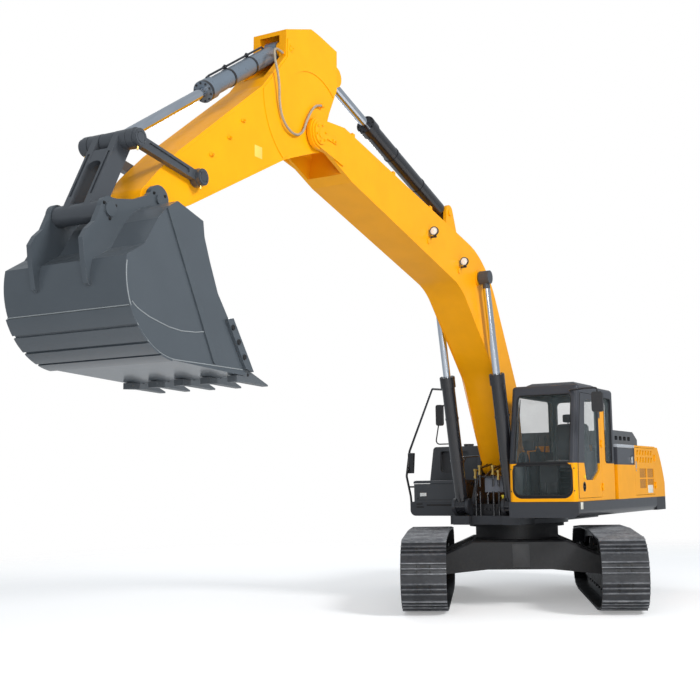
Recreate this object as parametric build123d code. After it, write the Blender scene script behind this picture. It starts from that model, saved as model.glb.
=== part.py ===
from build123d import *
import math
import os

# Crawler excavator of the 35 to 37 tonne class, in millimetres.
# X points forward along the boom, Y to the cab side, Z up.
# The origin is on the swing axis at ground level.

os.makedirs("parts", exist_ok=True)

# General fits
PIN_FIT = 0.05            # radial clearance of a pin in its bore
SEAT = 0.3                # gap between pieces that seat on each other
RUN = 6.0                 # side clearance between moving pieces
OVERLAP = 2.0             # how far fused pieces run into each other
HINGE_RADIUS = 11.0
HINGE_LENGTH = 105.0

# Undercarriage
UNDERCARRIAGE_YAW = 23.0  # turned against the house, as it is parked
TRACK_GAUGE = 2590.0
SHOE_WIDTH = 600.0
SHOE_COUNT = 48
SHOE_PITCH = 216.0
SHOE_PLATE = 13.0
GROUSER_HEIGHT = 25.0
GROUSER_BASE = 26.0
GROUSER_TOP = 12.0
GROUSER_STEP = 70.0
LINK_OUT = 67.0           # pin line to the shoe plate
LINK_IN = 60.0            # pin line to the rail that the rollers run on
RAIL_INNER = 66.0
RAIL_OUTER = 104.0
TUMBLER_HALF = 1978.0     # swing axis to the idler and sprocket axles
IDLER_RADIUS = 310.0
IDLER_FLANGE = 26.0
IDLER_LIFT = 36.0         # ground to the lowest grouser under the idler
ROLLER_RADIUS = 100.0
ROLLER_FLANGE = 118.0
ROLLER_GAP = 84.0         # last roller to the idler
ROLLER_SPAN = TUMBLER_HALF - IDLER_RADIUS - IDLER_FLANGE - ROLLER_FLANGE - ROLLER_GAP
ROLLER_COUNT = 9
LIFT_OFF = 110.0          # last roller to where the chain leaves the ground
CHAIN_PLAY = 3.0
CARRIER_RADIUS = 75.0
CARRIER_X = 640.0
TRACK_HEIGHT = 1050.0
SPROCKET_TEETH = 21
SPROCKET_WIDTH = 80.0
FRAME_WIDTH = 340.0
MOTOR_RADIUS = 200.0      # travel motor, seated on the inner plate of the track frame
MOTOR_REACH = 168.0
FRAME_BOTTOM = 400.0
FRAME_TOP = 690.0
FRAME_CLEAR = 42.0        # beam to the idler
FRAME_HALF_LENGTH = TUMBLER_HALF - IDLER_RADIUS - IDLER_FLANGE - FRAME_CLEAR
BODY_TOP = 905.0
BODY_BOTTOM = 500.0
BODY_HALF = 800.0         # fore and aft half length of the centre box
SHOULDER_Y = 650.0        # where the top of the cross beam starts to fall
BEARING_RADIUS = 700.0
BEAM_REACH = 1000.0       # swing axis to the outer faces of the cross beams
TOW_REACH = 60.0          # rear beam face to the tow bore
TOW_Y = 250.0
TOW_Z = 620.0
TOW_BORE = 32.0
TOW_THICK = 50.0
PEDESTAL_RADIUS = 610.0
BEARING_BOTTOM = 1080.0
BEARING_OPENING = 530.0
FLANGE_RADIUS = 765.0     # ring under the revolving frame

# Upper structure
DECK_BOTTOM = 1240.0
DECK_TOP = 1452.0
DECK_CORNER = 90.0        # rounding of the lower outer edges of the decks
CENTRE_BOTTOM = 1130.0    # seats on the swing bearing
CENTRE_TOP = 1256.0
HOUSE_HALF = 1480.0
HOUSE_RIGHT = 1450.0
HOUSE_REAR = -2450.0      # front face of the counterweight
DECK_FRONT_LEFT = 1520.0
DECK_FRONT_RIGHT = 650.0
DECK_INNER_LEFT = 495.0
DECK_INNER_RIGHT = -600.0
CENTRE_FRONT = 1060.0
BRACKET_INNER = 293.0
BRACKET_THICK = 50.0
TAIL_RADIUS = 3400.0
TAIL_SHOULDER = 405.0     # how far the top of the counterweight draws in
TAIL_CORNER = 120.0
WEIGHT_TOP = 2250.0
LIFTING_X = -2760.0       # lifting eyes on the counterweight
LIFTING_Y = 760.0
LIFTING_BORE = 28.0
HOUSING_TOP = 2262.0
PANEL = 30.0
FIREWALL_X = -330.0
LEFT_DOOR_FRONT = -1250.0
SCREEN_BOTTOM = 1972.0    # dark panel between the cab and the left door
HOOD = (-2330.0, -1000.0, -560.0, 1230.0)     # rear, front, right, left
HOOD_HEIGHT = 230.0
HOOD_SLOTS = 4
TANK_FRONT = -60.0
TANK_REAR = -1300.0
TANK_TOP = 2290.0
HYDRAULIC_TOP = TANK_TOP - 40.0
TANK_LEAN = 75.0          # how far the outer side of the tanks leans in at the top
TOOLBOX_RIGHT = 1400.0
TOOLBOX_TOP = 1718.0
LID_THICK = 44.0
LID_LIP = 8.0             # how far the lid stands over the toolbox
LOUVRE_ROWS = ((2000.0, 2080.0), (2115.0, 2190.0))
LOUVRE_PITCH = 160.0
LOUVRE_WIDTH = 78.0
RAIL_RADIUS = 17.0
DOOR_THICK = 40.0
SIDE_GAP = 6.0

# Boom
BOOM_FOOT = (450.0, 1990.0)
BOOM_TIP = (6110.0, 5488.0)
TOP_KNEE = (1545.0, 4850.0)   # where the straight upper sides of the two limbs would meet
TOP_END = (5540.0, 5700.0)
BOOM_HALF = 265.0
BOOM_WALL = 18.0
FOOT_RADIUS = 150.0
FOOT_PIN = 55.0
TIP_RADIUS = 172.0
TIP_PIN = 55.0
FORK_WALL = 48.0
FORK_REACH = 640.0        # radius left open for the arm between the fork plates

PIPE_RADIUS = 16.0
PIPE_Y = (165.0, 212.0)   # pipes on top of the boom, on each side
CLAMP_X = (3275.0, 4300.0, 5300.0)
LAMP_SPOTS = ((2455.0, 4659.0), (3384.0, 4901.0))
LAMP_RADIUS = 58.0

# Boom cylinders
LIFT_FOOT = (1130.0, 1400.0)
LIFT_EYE = (1850.0, 4540.0)
LIFT_Y = 377.0
LIFT_BARREL = 92.0
LIFT_BORE = 78.0
LIFT_ROD = 52.0
LIFT_BARREL_LENGTH = 1870.0

# Arm
ARM_HALF = 205.0
ARM_WALL = 16.0
ARM_BOSS = 205.0
ARM_TIP = (8845.0, 4180.0)
ARM_TIP_RADIUS = 140.0
ARM_TIP_HALF = 240.0
ARM_EYE = (5470.0, 6340.0)
CROWD_FOOT = (2430.0, 5370.0)
CROWD_BARREL = 100.0
CROWD_BORE = 85.0
CROWD_ROD = 57.0
CROWD_BARREL_LENGTH = 2240.0
CURL_FOOT = (6560.0, 6300.0)
CURL_BARREL = 90.0
CURL_BORE = 76.0
CURL_ROD = 50.0
CURL_BARREL_LENGTH = 1500.0
EYE_HALF = 72.0
LUG_RADIUS = 105.0
CLEVIS_HALF = 80.0
CLEVIS_PLATE = 45.0

# Bucket linkage
LEVER_PIN = (8235.0, 4515.0)
ROD_PIN = (9110.0, 4660.0)
LINK_PIN = (9475.0, 3970.0)
LEVER_INNER = 215.0
LEVER_OUTER = 275.0
LEVER_BOSS = 84.0
LEVER_WAIST = 46.0
CAP_OUTER = 313.0         # centre line to the outer face of the pin caps
LINKAGE_PIN = 45.0
LINK_BOSS = 88.0
LINK_LEG = 66.0
LINK_DEPTH = 104.0

# Bucket
BUCKET_HALF = 648.0
WEAR_THICK = 14.0         # wear strips stand this far out of the shell and the sides
WEAR_COUNT = 4
SIDE_WALL = 25.0
SHELL_WALL = 28.0
HEEL_CENTRE = (9040.0, 3395.0)
HEEL_RADIUS = 645.0
EAR_INNER = 252.0
EAR_OUTER = 300.0
EAR_BOSS = 125.0
BUCKET_PIN = 50.0
LIP = (8075.0, 2700.0)
LIP_THICK = 50.0
HEEL_TOP = 12.0           # angle at which the back plate leaves the heel
BACK_EDGE = ((9459.0, 3650.0), (9290.0, 3890.0), (9165.0, 4012.0), (9037.0, 4080.0))
SIDE_EDGE = ((8078.0, 2800.0), (8337.0, 3195.0), (8480.0, 3382.0), (8595.0, 3643.0),
             (8671.0, 3842.0), (8688.0, 3978.0))
TOOTH_COUNT = 5
TOOTH_SPAN = 591.0
TOOTH_WIDTH = 100.0
TOOTH_LENGTH = 400.0

# Hose from the bucket cylinder to the arm, along the left side of the arm
HOSE_RADIUS = 13.0
HOSE_Y = 238.0            # where it lies along the side of the arm
HOSE_ROUTE = ((6668, 172, 6222), (6785, 176, 6236), (6885, 206, 6180), (6925, 240, 6065),
              (6905, 262, 5925), (6868, 256, 5790), (6850, 242, 5640), (6800, HOSE_Y, 5485),
              (6680, HOSE_Y, 5385), (6525, HOSE_Y, 5358), (6385, HOSE_Y, 5430),
              (6312, HOSE_Y, 5575), (6210, HOSE_Y, 5720), (6110, HOSE_Y, 5808),
              (6005, HOSE_Y, 5830))

# Cab
CAB_REAR = -270.0
CAB_FRONT = 1515.0
CAB_ROOF_FRONT = 1310.0
CAB_RIGHT = 500.0
CAB_LEFT = HOUSE_HALF - 18.0
CAB_FLOOR = 1455.0
CAB_SILL = 1965.0
CAB_ROOF = 3050.0
CAB_WALL = 60.0
CAB_CORNER = 55.0
DOOR_REAR = 390.0
DOOR_SETBACK = 85.0       # cab front to the front edge of the door
PILLAR = 194.0            # width of the pillar behind the door
DOOR_BOTTOM = 1500.0
DOOR_TOP = 2930.0
LATCH_Z = 1650.0
DOOR_GAP = 6.0
HATCH_REAR = 120.0
HATCH_FRONT = 1030.0
GLASS = 8.0


def outline(points):
    """Face inside a closed outline of (x, z) or (x, y) points."""
    return make_face(Polyline(*points, close=True))


def disc(centre, radius):
    """Round face at a point of the side view."""
    return Pos(*centre) * Circle(radius)


def strap(a, radius_a, b, radius_b):
    """Face of two bosses joined by straight flanks."""
    return make_hull(disc(a, radius_a).edges() + disc(b, radius_b).edges())


def eased(points, radius, corners):
    """Closed outline with the corners of the given numbers rounded."""
    face = outline(points)

    def chosen(vertex):
        return any(math.hypot(vertex.X - points[i][0], vertex.Y - points[i][1]) < 0.5 for i in corners)
    return fillet([vertex for vertex in face.vertices() if chosen(vertex)], radius)


def slab(sketch, y_low, y_high):
    """Plate with a side-view shape, from y_low to y_high across the machine."""
    return Pos(0, y_high, 0) * extrude(Plane.XZ * sketch, amount=y_high - y_low)


def lengthwise(sketch, x_low, x_high):
    """Bar with a front-view shape in (y, z), from x_low to x_high along the machine."""
    return Pos(x_low, 0, 0) * extrude(Plane.YZ * sketch, amount=x_high - x_low)


def upright(sketch, z_low, z_high):
    """Block with a plan-view shape in (x, y), from z_low to z_high."""
    return Pos(0, 0, z_low) * extrude(sketch, amount=z_high - z_low)


def rod(centre, radius, y_low, y_high):
    """Round bar or bore across the machine."""
    return slab(disc(centre, radius), y_low, y_high)


def both_sides(solid):
    """A piece and its mirror image on the other side."""
    return solid + mirror(solid, about=Plane.XZ)


def block(x_low, x_high, y_low, y_high, z_low, z_high):
    """Box from its lowest to its highest corner."""
    size = (x_high - x_low, y_high - y_low, z_high - z_low)
    return Pos(x_low, y_low, z_low) * Box(*size, align=(Align.MIN, Align.MIN, Align.MIN))


def polar(centre, radius, degrees):
    """Point at an angle from the x axis of the side view."""
    angle = math.radians(degrees)
    return (centre[0] + radius * math.cos(angle), centre[1] + radius * math.sin(angle))


def between(a, b, share):
    """Point at a share of the way from a to b."""
    return (a[0] + share * (b[0] - a[0]), a[1] + share * (b[1] - a[1]))


def heading(a, b):
    """Angle of the line from a to b in the side view."""
    return math.degrees(math.atan2(b[1] - a[1], b[0] - a[0]))


def reach(a, b):
    return math.hypot(b[0] - a[0], b[1] - a[1])


def hinge_row(at, along, spots, leaf_fixed, leaf_moving):
    """Knuckles on one axis: the outer two of each spot are fixed, the middle one moves.

    A leaf is the box of a flap from the knuckle, as offsets from the axis point.
    """
    turn = {"x": Rot(0, 90, 0), "y": Rot(90, 0, 0), "z": Rot(0, 0, 0)}[along]
    unit = {"x": (1, 0, 0), "y": (0, 1, 0), "z": (0, 0, 1)}[along]
    fixed, moving = [], []
    third = HINGE_LENGTH / 3
    for spot in spots:
        for step, leaf, group in ((-1, leaf_fixed, fixed), (0, leaf_moving, moving),
                                  (1, leaf_fixed, fixed)):
            middle = spot + step * third
            centre = tuple(at[i] + unit[i] * (middle - at[i]) for i in range(3))
            length = third - SEAT
            group.append(Pos(*centre) * (turn * Cylinder(HINGE_RADIUS, length)))
            low = [centre[i] + (leaf[0][i] if not unit[i] else -length / 2) for i in range(3)]
            high = [centre[i] + (leaf[1][i] if not unit[i] else length / 2) for i in range(3)]
            group.append(block(low[0], high[0], low[1], high[1], low[2], high[2]))
    return fixed, moving


def side_hinge(side, x, y_skin, spots):
    """Upright hinge just outside a side skin: door in front of the axis, frame behind it."""
    out = HINGE_RADIUS + 1
    low, high = sorted((-side * (out + OVERLAP), -side * 3))
    return hinge_row((x, side * (y_skin + out), 0), "z", spots,
                     ((-45, low, 0), (0, high, 0)), ((0, low, 0), (45, high, 0)))


def cross_hinge(x, z_skin, spots):
    """Hinge across the machine, behind the rear edge of a lid that stands on a roof."""
    out = HINGE_RADIUS + 1
    return hinge_row((x - HINGE_RADIUS - 2, 0, z_skin + out), "y", spots,
                     ((-40, 0, -out - OVERLAP), (0, 0, -3)),
                     ((0, 0, -out + SIDE_GAP + 1), (HINGE_RADIUS + 2 + OVERLAP, 0, 20)))


def save(name, shape):
    export_step(shape, "parts/" + name + ".step")


# Undercarriage, in its own straight frame

PIN_TO_TIP = LINK_OUT + SHOE_PLATE + GROUSER_HEIGHT
IDLER_Z = IDLER_RADIUS + LINK_IN + PIN_TO_TIP + IDLER_LIFT
ROLLER_Z = PIN_TO_TIP + LINK_IN + ROLLER_RADIUS
LINK_FLAT = math.cos(SHOE_PITCH / 2 / (IDLER_RADIUS + LINK_IN))
CARRIER_Z = TRACK_HEIGHT - PIN_TO_TIP - LINK_IN - CARRIER_RADIUS


def belt(circles):
    """Belt round a ring of circles, counter-clockwise: (x, z, radius, first heading, turn)."""
    count = len(circles)
    joints = []
    for index in range(count):
        xa, za, ra = circles[index]
        xb, zb, rb = circles[(index + 1) % count]
        span = math.hypot(xb - xa, zb - za)
        angle = math.atan2(zb - za, xb - xa) + math.asin((ra - rb) / span)
        joints.append(angle)
    runs = []
    for index in range(count):
        x, z, radius = circles[index]
        start = joints[index - 1]
        turn = (joints[index] - start) % (2 * math.pi)
        runs.append((x, z, radius, start, turn))
    return runs


def chain_stations(count):
    """Centre and heading of each shoe, evenly spaced along the pin line."""
    pitch_circle = IDLER_RADIUS + LINK_IN
    circles = [
        (TUMBLER_HALF, IDLER_Z, pitch_circle),
        (CARRIER_X, CARRIER_Z, CARRIER_RADIUS + LINK_IN),
        (-CARRIER_X, CARRIER_Z, CARRIER_RADIUS + LINK_IN),
        (-TUMBLER_HALF, IDLER_Z, pitch_circle),
        (-ROLLER_SPAN - LIFT_OFF, ROLLER_Z, ROLLER_RADIUS + LINK_IN),
        (ROLLER_SPAN + LIFT_OFF, ROLLER_Z, ROLLER_RADIUS + LINK_IN),
    ]
    pieces = []
    runs = belt(circles)
    for index, (x, z, radius, start, turn) in enumerate(runs):
        pieces.append(("arc", x, z, radius, start, radius * turn))
        end = start + turn
        px = x + radius * math.sin(end)
        pz = z - radius * math.cos(end)
        nx, nz, nr, nstart, nturn = runs[(index + 1) % len(runs)]
        qx = nx + nr * math.sin(nstart)
        qz = nz - nr * math.cos(nstart)
        pieces.append(("line", px, pz, 0.0, end, math.hypot(qx - px, qz - pz)))
    total = sum(piece[5] for piece in pieces)
    stations = []
    for number in range(2 * count):
        rest = total * number / (2 * count)
        for kind, x, z, radius, start, length in pieces:
            if rest <= length:
                break
            rest -= length
        if kind == "arc":
            angle = start + rest / radius
            stations.append((x + radius * math.sin(angle), z - radius * math.cos(angle), angle))
        else:
            stations.append((x + rest * math.cos(start), z + rest * math.sin(start), start))
    return stations


def off_chain(station, along, out):
    """Point beside the pin line: along the travel and outwards."""
    x, z, angle = station
    return (x + along * math.cos(angle) + out * math.sin(angle),
            z + along * math.sin(angle) - out * math.cos(angle))


def track(side):
    """Closed loop of triple-grouser shoes on two rows of links."""
    stations = chain_stations(SHOE_COUNT)
    outer, plate, inner = [], [], []
    base = LINK_OUT + SHOE_PLATE
    for index in range(0, len(stations), 2):
        shoe, joint = stations[index], stations[index + 1]
        for step in (-1, 0, 1):
            middle = step * GROUSER_STEP
            outer.append(off_chain(shoe, middle - GROUSER_BASE / 2, base))
            outer.append(off_chain(shoe, middle - GROUSER_TOP / 2, base + GROUSER_HEIGHT))
            outer.append(off_chain(shoe, middle + GROUSER_TOP / 2, base + GROUSER_HEIGHT))
            outer.append(off_chain(shoe, middle + GROUSER_BASE / 2, base))
        plate.append(off_chain(joint, 0, LINK_OUT))
        inner.append(off_chain(joint, 0, -LINK_IN))
    centre = side * TRACK_GAUGE / 2
    loop = outline(plate)
    shoes = slab(outline(outer) - loop, centre - SHOE_WIDTH / 2, centre + SHOE_WIDTH / 2)
    rail_outer = [off_chain(s, 0, LINK_OUT + OVERLAP) for s in stations[1::2]]
    rail = outline(rail_outer) - outline(inner)
    near = slab(rail, centre + RAIL_INNER, centre + RAIL_OUTER)
    far = slab(rail, centre - RAIL_OUTER, centre - RAIL_INNER)
    return shoes + near + far


def wheel(x, z, profile, centre):
    """Turned piece on an axle across the machine, from (radius, y) steps."""
    turned = revolve(make_face(Polyline(*profile, close=True)), Axis.Y)
    return Pos(x, centre, z) * turned


def rollers(side):
    """Bottom and carrier rollers, each on its own axle."""
    centre = side * TRACK_GAUGE / 2
    wall = RAIL_OUTER + 4
    flange = wall + 16
    bottom = [(0, -flange), (ROLLER_FLANGE, -flange), (ROLLER_FLANGE, -wall),
              (ROLLER_RADIUS - SEAT, -wall), (ROLLER_RADIUS - SEAT, wall),
              (ROLLER_FLANGE, wall), (ROLLER_FLANGE, flange), (0, flange)]
    carrier = [(0, -flange), (CARRIER_RADIUS - CHAIN_PLAY, -flange),
               (CARRIER_RADIUS - CHAIN_PLAY, flange), (0, flange)]
    pieces = []
    for index in range(ROLLER_COUNT):
        x = -ROLLER_SPAN + 2 * ROLLER_SPAN * index / (ROLLER_COUNT - 1)
        pieces.append(wheel(x, ROLLER_Z, bottom, centre))
    for x in (-CARRIER_X, CARRIER_X):
        pieces.append(wheel(x, CARRIER_Z, carrier, centre))
    return Part() + pieces


def idler(side):
    """Front guide wheel with a raised centre flange between the links."""
    tread = RAIL_OUTER
    rim = IDLER_RADIUS * LINK_FLAT - SEAT
    dish = IDLER_RADIUS * 0.75
    hub = 90
    profile = [(0, -tread), (hub, -tread), (hub, -40), (dish, -40), (dish, -tread), (rim, -tread),
               (rim, -RAIL_INNER + 4), (rim + IDLER_FLANGE, -RAIL_INNER + 12),
               (rim + IDLER_FLANGE, RAIL_INNER - 12),
               (rim, RAIL_INNER - 4), (rim, tread), (dish, tread), (dish, 40), (hub, 40),
               (hub, tread), (0, tread)]
    return wheel(TUMBLER_HALF, IDLER_Z, profile, side * TRACK_GAUGE / 2)


def sprocket(side):
    """Toothed drive wheel with its final drive cover outside."""
    centre = side * TRACK_GAUGE / 2
    root = IDLER_RADIUS - 8
    tip = IDLER_RADIUS + 44
    points = []
    for tooth in range(SPROCKET_TEETH):
        for share, radius in ((0.0, root), (0.38, root), (0.58, tip), (0.80, tip)):
            points.append(polar((0, 0), radius, 360 * (tooth + share) / SPROCKET_TEETH))
    disc_part = slab(outline(points), -SPROCKET_WIDTH / 2, SPROCKET_WIDTH / 2)
    outside = side
    low, high = sorted((outside * (SPROCKET_WIDTH / 2 - OVERLAP), outside * 190))
    drum = rod((0, 0), 235, low, high)
    low, high = sorted((outside * 188, outside * 235))
    cover = rod((0, 0), 170, low, high)
    low, high = sorted((-outside * MOTOR_REACH, -outside * (SPROCKET_WIDTH / 2 - OVERLAP)))
    motor = rod((0, 0), MOTOR_RADIUS, low, high)
    whole = disc_part + drum + cover + motor
    return Pos(-TUMBLER_HALF, centre, IDLER_Z) * whole


def track_frame(side):
    """Box beam that carries the rollers, with the idler fork and the carrier posts."""
    centre = side * TRACK_GAUGE / 2
    half = FRAME_WIDTH / 2
    slope = 60
    section = outline([(-half, FRAME_BOTTOM), (half, FRAME_BOTTOM), (half, FRAME_TOP - slope),
                       (half - slope, FRAME_TOP), (-half + slope, FRAME_TOP),
                       (-half, FRAME_TOP - slope)])
    rear = -TUMBLER_HALF + IDLER_RADIUS + 74
    beam = Pos(rear, centre, 0) * extrude(Plane.YZ * section, amount=FRAME_HALF_LENGTH - rear)
    roller_end = RAIL_OUTER + 4 + 16 + SEAT
    body = beam
    ear = slab(outline([(-ROLLER_SPAN - 80, ROLLER_Z - 30), (ROLLER_SPAN + 80, ROLLER_Z - 30),
                        (ROLLER_SPAN + 80, FRAME_BOTTOM + OVERLAP),
                        (-ROLLER_SPAN - 80, FRAME_BOTTOM + OVERLAP)]), roller_end, half)
    fork_face = strap((FRAME_HALF_LENGTH - 300, (FRAME_TOP + FRAME_BOTTOM) / 2), 100,
                      (TUMBLER_HALF + 20, IDLER_Z), 95)
    fork = slab(fork_face, RAIL_OUTER + SEAT, half)
    posts = []
    for x in (-CARRIER_X, CARRIER_X):
        posts.append(block(x - 50, x + 50, roller_end, half, FRAME_TOP - slope - 30, CARRIER_Z + 40))
    one_side = ear + fork + posts
    body += Pos(0, centre, 0) * both_sides(one_side)
    plate = strap((rear + 120, (FRAME_TOP + FRAME_BOTTOM) / 2), 125, (-TUMBLER_HALF, IDLER_Z),
                  MOTOR_RADIUS + 20)
    low, high = sorted((-side * (MOTOR_REACH + SEAT), -side * (MOTOR_REACH + 45)))
    return body + Pos(0, centre, 0) * slab(plate, low, high)


def car_body():
    """Centre box with front and rear cross beams that fall towards the track frames."""
    inner = TRACK_GAUGE / 2 - FRAME_WIDTH / 2
    shoulder = SHOULDER_Y + 260
    arch = outline([(-inner, 430), (-900, 455), (-450, BODY_BOTTOM), (450, BODY_BOTTOM),
                    (900, 455), (inner, 430), (inner, 700), (shoulder, 790),
                    (SHOULDER_Y, BODY_TOP), (-SHOULDER_Y, BODY_TOP), (-shoulder, 790),
                    (-inner, 700)])
    beam = lengthwise(arch, BEAM_REACH - 450, BEAM_REACH)

    def upper(edge):
        at = edge.center()
        return at.X > BEAM_REACH - 1 and at.Z > 720
    beam = chamfer(beam.edges().filter_by(upper), 24)
    rear_beam = mirror(beam, about=Plane.YZ)
    centre = block(-BODY_HALF, BODY_HALF, -SHOULDER_Y, SHOULDER_Y, BODY_BOTTOM, BODY_TOP)
    pedestal = Pos(0, 0, BODY_TOP - OVERLAP) * Cylinder(
        PEDESTAL_RADIUS, BEARING_BOTTOM - BODY_TOP + OVERLAP,
        align=(Align.CENTER, Align.CENTER, Align.MIN))
    eyes = []
    for side in (-1, 1):
        at = (-BEAM_REACH - TOW_REACH, side * TOW_Y)
        face = strap(at, 68, (-BEAM_REACH + 40, side * TOW_Y), 110) - disc(at, TOW_BORE)
        eyes.append(upright(face, TOW_Z, TOW_Z + TOW_THICK))
    return centre + beam + rear_beam + pedestal + eyes


def ring(radius, opening, z_low, z_high):
    """Flat ring about the swing axis."""
    return upright(disc((0, 0), radius) - disc((0, 0), opening), z_low, z_high)


def swing_bearing():
    """Fixed ring of the swing bearing with its bolt flange."""
    body = ring(BEARING_RADIUS - 18, BEARING_OPENING, BEARING_BOTTOM, CENTRE_BOTTOM - SEAT)
    return body + ring(BEARING_RADIUS, BEARING_OPENING, BEARING_BOTTOM, BEARING_BOTTOM + 30)


# Upper structure

def deck(side, inner, outer, front):
    """Side deck: a box, open below, with its lower outer edge rounded."""
    low, high = DECK_BOTTOM, DECK_TOP
    near, skin = inner - side * OVERLAP, outer - side * PANEL
    section = eased([(near, low), (outer, low), (outer, high), (near, high)], DECK_CORNER, (1,))
    hollow = outline([(inner + side * PANEL, low - OVERLAP), (skin - side * DECK_CORNER, low - OVERLAP),
                      (skin, low + DECK_CORNER), (skin, high - PANEL),
                      (inner + side * PANEL, high - PANEL)])
    box = lengthwise(section, HOUSE_REAR, front)
    return box - lengthwise(hollow, HOUSE_REAR + PANEL, front - PANEL)


def platform_frame():
    """Revolving frame: centre box, side decks, boom brackets and cylinder brackets."""
    centre = block(HOUSE_REAR, CENTRE_FRONT, DECK_INNER_RIGHT, DECK_INNER_LEFT,
                   CENTRE_BOTTOM, CENTRE_TOP)
    centre += ring(FLANGE_RADIUS, BEARING_OPENING, CENTRE_BOTTOM, CENTRE_BOTTOM + 66)
    left = deck(1, DECK_INNER_LEFT, HOUSE_HALF, DECK_FRONT_LEFT)
    right = deck(-1, DECK_INNER_RIGHT, -HOUSE_RIGHT, DECK_FRONT_RIGHT)
    outer = BRACKET_INNER + BRACKET_THICK
    web = outline([(FIREWALL_X + 10, CENTRE_TOP - 10), (CENTRE_FRONT - 40, CENTRE_TOP - 10),
                   (CENTRE_FRONT - 150, CENTRE_TOP + 140),
                   (BOOM_FOOT[0] + 160, BOOM_FOOT[1]), (BOOM_FOOT[0] - 170, BOOM_FOOT[1]),
                   (FIREWALL_X + 10, 1560)])
    bracket = slab(web + disc(BOOM_FOOT, 170), BRACKET_INNER, outer)
    foot = strap(LIFT_FOOT, LUG_RADIUS, (LIFT_FOOT[0] - 160, CENTRE_TOP + 30), 90)
    below = block(-3000, 3000, 0, 3000, 0, CENTRE_BOTTOM)
    lug_low = LIFT_Y - EYE_HALF - RUN - CLEVIS_PLATE
    lug_high = LIFT_Y + EYE_HALF + RUN + CLEVIS_PLATE
    lugs = slab(foot, lug_low, lug_low + CLEVIS_PLATE) + slab(foot, lug_high - CLEVIS_PLATE, lug_high)
    lugs += rod(LIFT_FOOT, FOOT_PIN, lug_low, lug_high + 20)
    nose = block(CENTRE_FRONT - OVERLAP, LIFT_FOOT[0] + 60, lug_low, lug_high,
                 CENTRE_BOTTOM, CENTRE_TOP)
    pair = both_sides(bracket + (lugs - below) + nose)
    pin = rod(BOOM_FOOT, FOOT_PIN, -outer - 25, outer + 25)
    return centre + left + right + pair + pin


def counterweight():
    """Cast rear weight: rounded to the tail radius in plan, drawn in towards the top."""
    front = HOUSE_REAR - SEAT
    low, shoulder = DECK_BOTTOM, DECK_BOTTOM + 270
    top = TAIL_RADIUS - TAIL_SHOULDER
    middle = (TAIL_RADIUS - TAIL_SHOULDER * 0.37, shoulder + (WEIGHT_TOP - shoulder) * 0.5)
    side = Polyline((TAIL_RADIUS - 60, low), (TAIL_RADIUS, low + 60), (TAIL_RADIUS, shoulder))
    crown = ThreePointArc((TAIL_RADIUS, shoulder), middle, (top, WEIGHT_TOP))
    rest = Polyline((top, WEIGHT_TOP), (0, WEIGHT_TOP), (0, low), (TAIL_RADIUS - 60, low))
    tail = revolve(Plane.XZ * make_face(side + crown + rest), Axis.Z)
    ahead = front + 2 * TAIL_CORNER
    plan = disc((0, 0), TAIL_RADIUS) & outline([(-TAIL_RADIUS, -HOUSE_RIGHT), (ahead, -HOUSE_RIGHT),
                                                (ahead, HOUSE_HALF), (-TAIL_RADIUS, HOUSE_HALF)])
    plan = offset(offset(plan, -TAIL_CORNER), TAIL_CORNER)
    body = tail & upright(plan, low, WEIGHT_TOP)
    body &= block(-TAIL_RADIUS, front, -HOUSE_RIGHT, HOUSE_HALF, low, WEIGHT_TOP)
    eyes = []
    for side in (-1, 1):
        at = (LIFTING_X, WEIGHT_TOP + 45)
        face = strap(at, 55, (LIFTING_X, WEIGHT_TOP - 30), 80) - disc(at, LIFTING_BORE)
        eyes.append(slab(face, side * LIFTING_Y - 25, side * LIFTING_Y + 25))
    return body + eyes


def cab_front(z, back):
    """X of a point on the front of the cab at a height, moved back by some distance."""
    lean = max(0.0, (z - CAB_SILL) / (CAB_ROOF - CAB_SILL))
    return CAB_FRONT - lean * (CAB_FRONT - CAB_ROOF_FRONT) - back


def cab_side_profile():
    """Side view of the cab: upright rear, windscreen leaning back above the sill."""
    return outline([(CAB_REAR, CAB_FLOOR), (CAB_FRONT, CAB_FLOOR), (CAB_FRONT, CAB_SILL),
                    (CAB_ROOF_FRONT, CAB_ROOF), (CAB_REAR, CAB_ROOF)])


def cab_door_hinge():
    return side_hinge(1, DOOR_REAR - DOOR_GAP, CAB_LEFT, (1640, 2250, 2820))


def hatch_hinge():
    return cross_hinge(HATCH_REAR, CAB_ROOF, (CAB_RIGHT + 300, CAB_LEFT - 300))


def windscreen_face(inset):
    """Upper front window in the front view, with its top corners rounded."""
    low, high = CAB_RIGHT + 95 + inset, CAB_LEFT - 95 - inset
    return eased([(low, CAB_SILL + 20 + inset), (high, CAB_SILL + 20 + inset),
                  (high, CAB_ROOF - 135 - inset), (low, CAB_ROOF - 135 - inset)], 60, (2, 3))


def front_pane_face(inset):
    """Lower front window in the front view, with deep round bottom corners."""
    low, high = CAB_RIGHT + 75 + inset, CAB_LEFT - 75 - inset
    return eased([(low, CAB_FLOOR + 85 + inset), (high, CAB_FLOOR + 85 + inset),
                  (high, CAB_SILL - 20 - inset), (low, CAB_SILL - 20 - inset)], 110, (0, 1))


def rear_pane_face(inset):
    low, high = CAB_RIGHT + 110 + inset, CAB_LEFT - 110 - inset
    return eased([(low, CAB_SILL + inset), (high, CAB_SILL + inset),
                  (high, CAB_ROOF - 150 - inset), (low, CAB_ROOF - 150 - inset)], 60, range(4))


def quarter_pane_face(inset):
    """Window behind the door, in the side view."""
    rear, front = CAB_REAR + 150 + inset, DOOR_REAR - PILLAR - inset
    return eased([(rear, CAB_SILL + 20 + inset), (front, CAB_SILL + 20 + inset),
                  (front, DOOR_TOP - 20 - inset), (rear, DOOR_TOP - 20 - inset)], 45, range(4))


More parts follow.
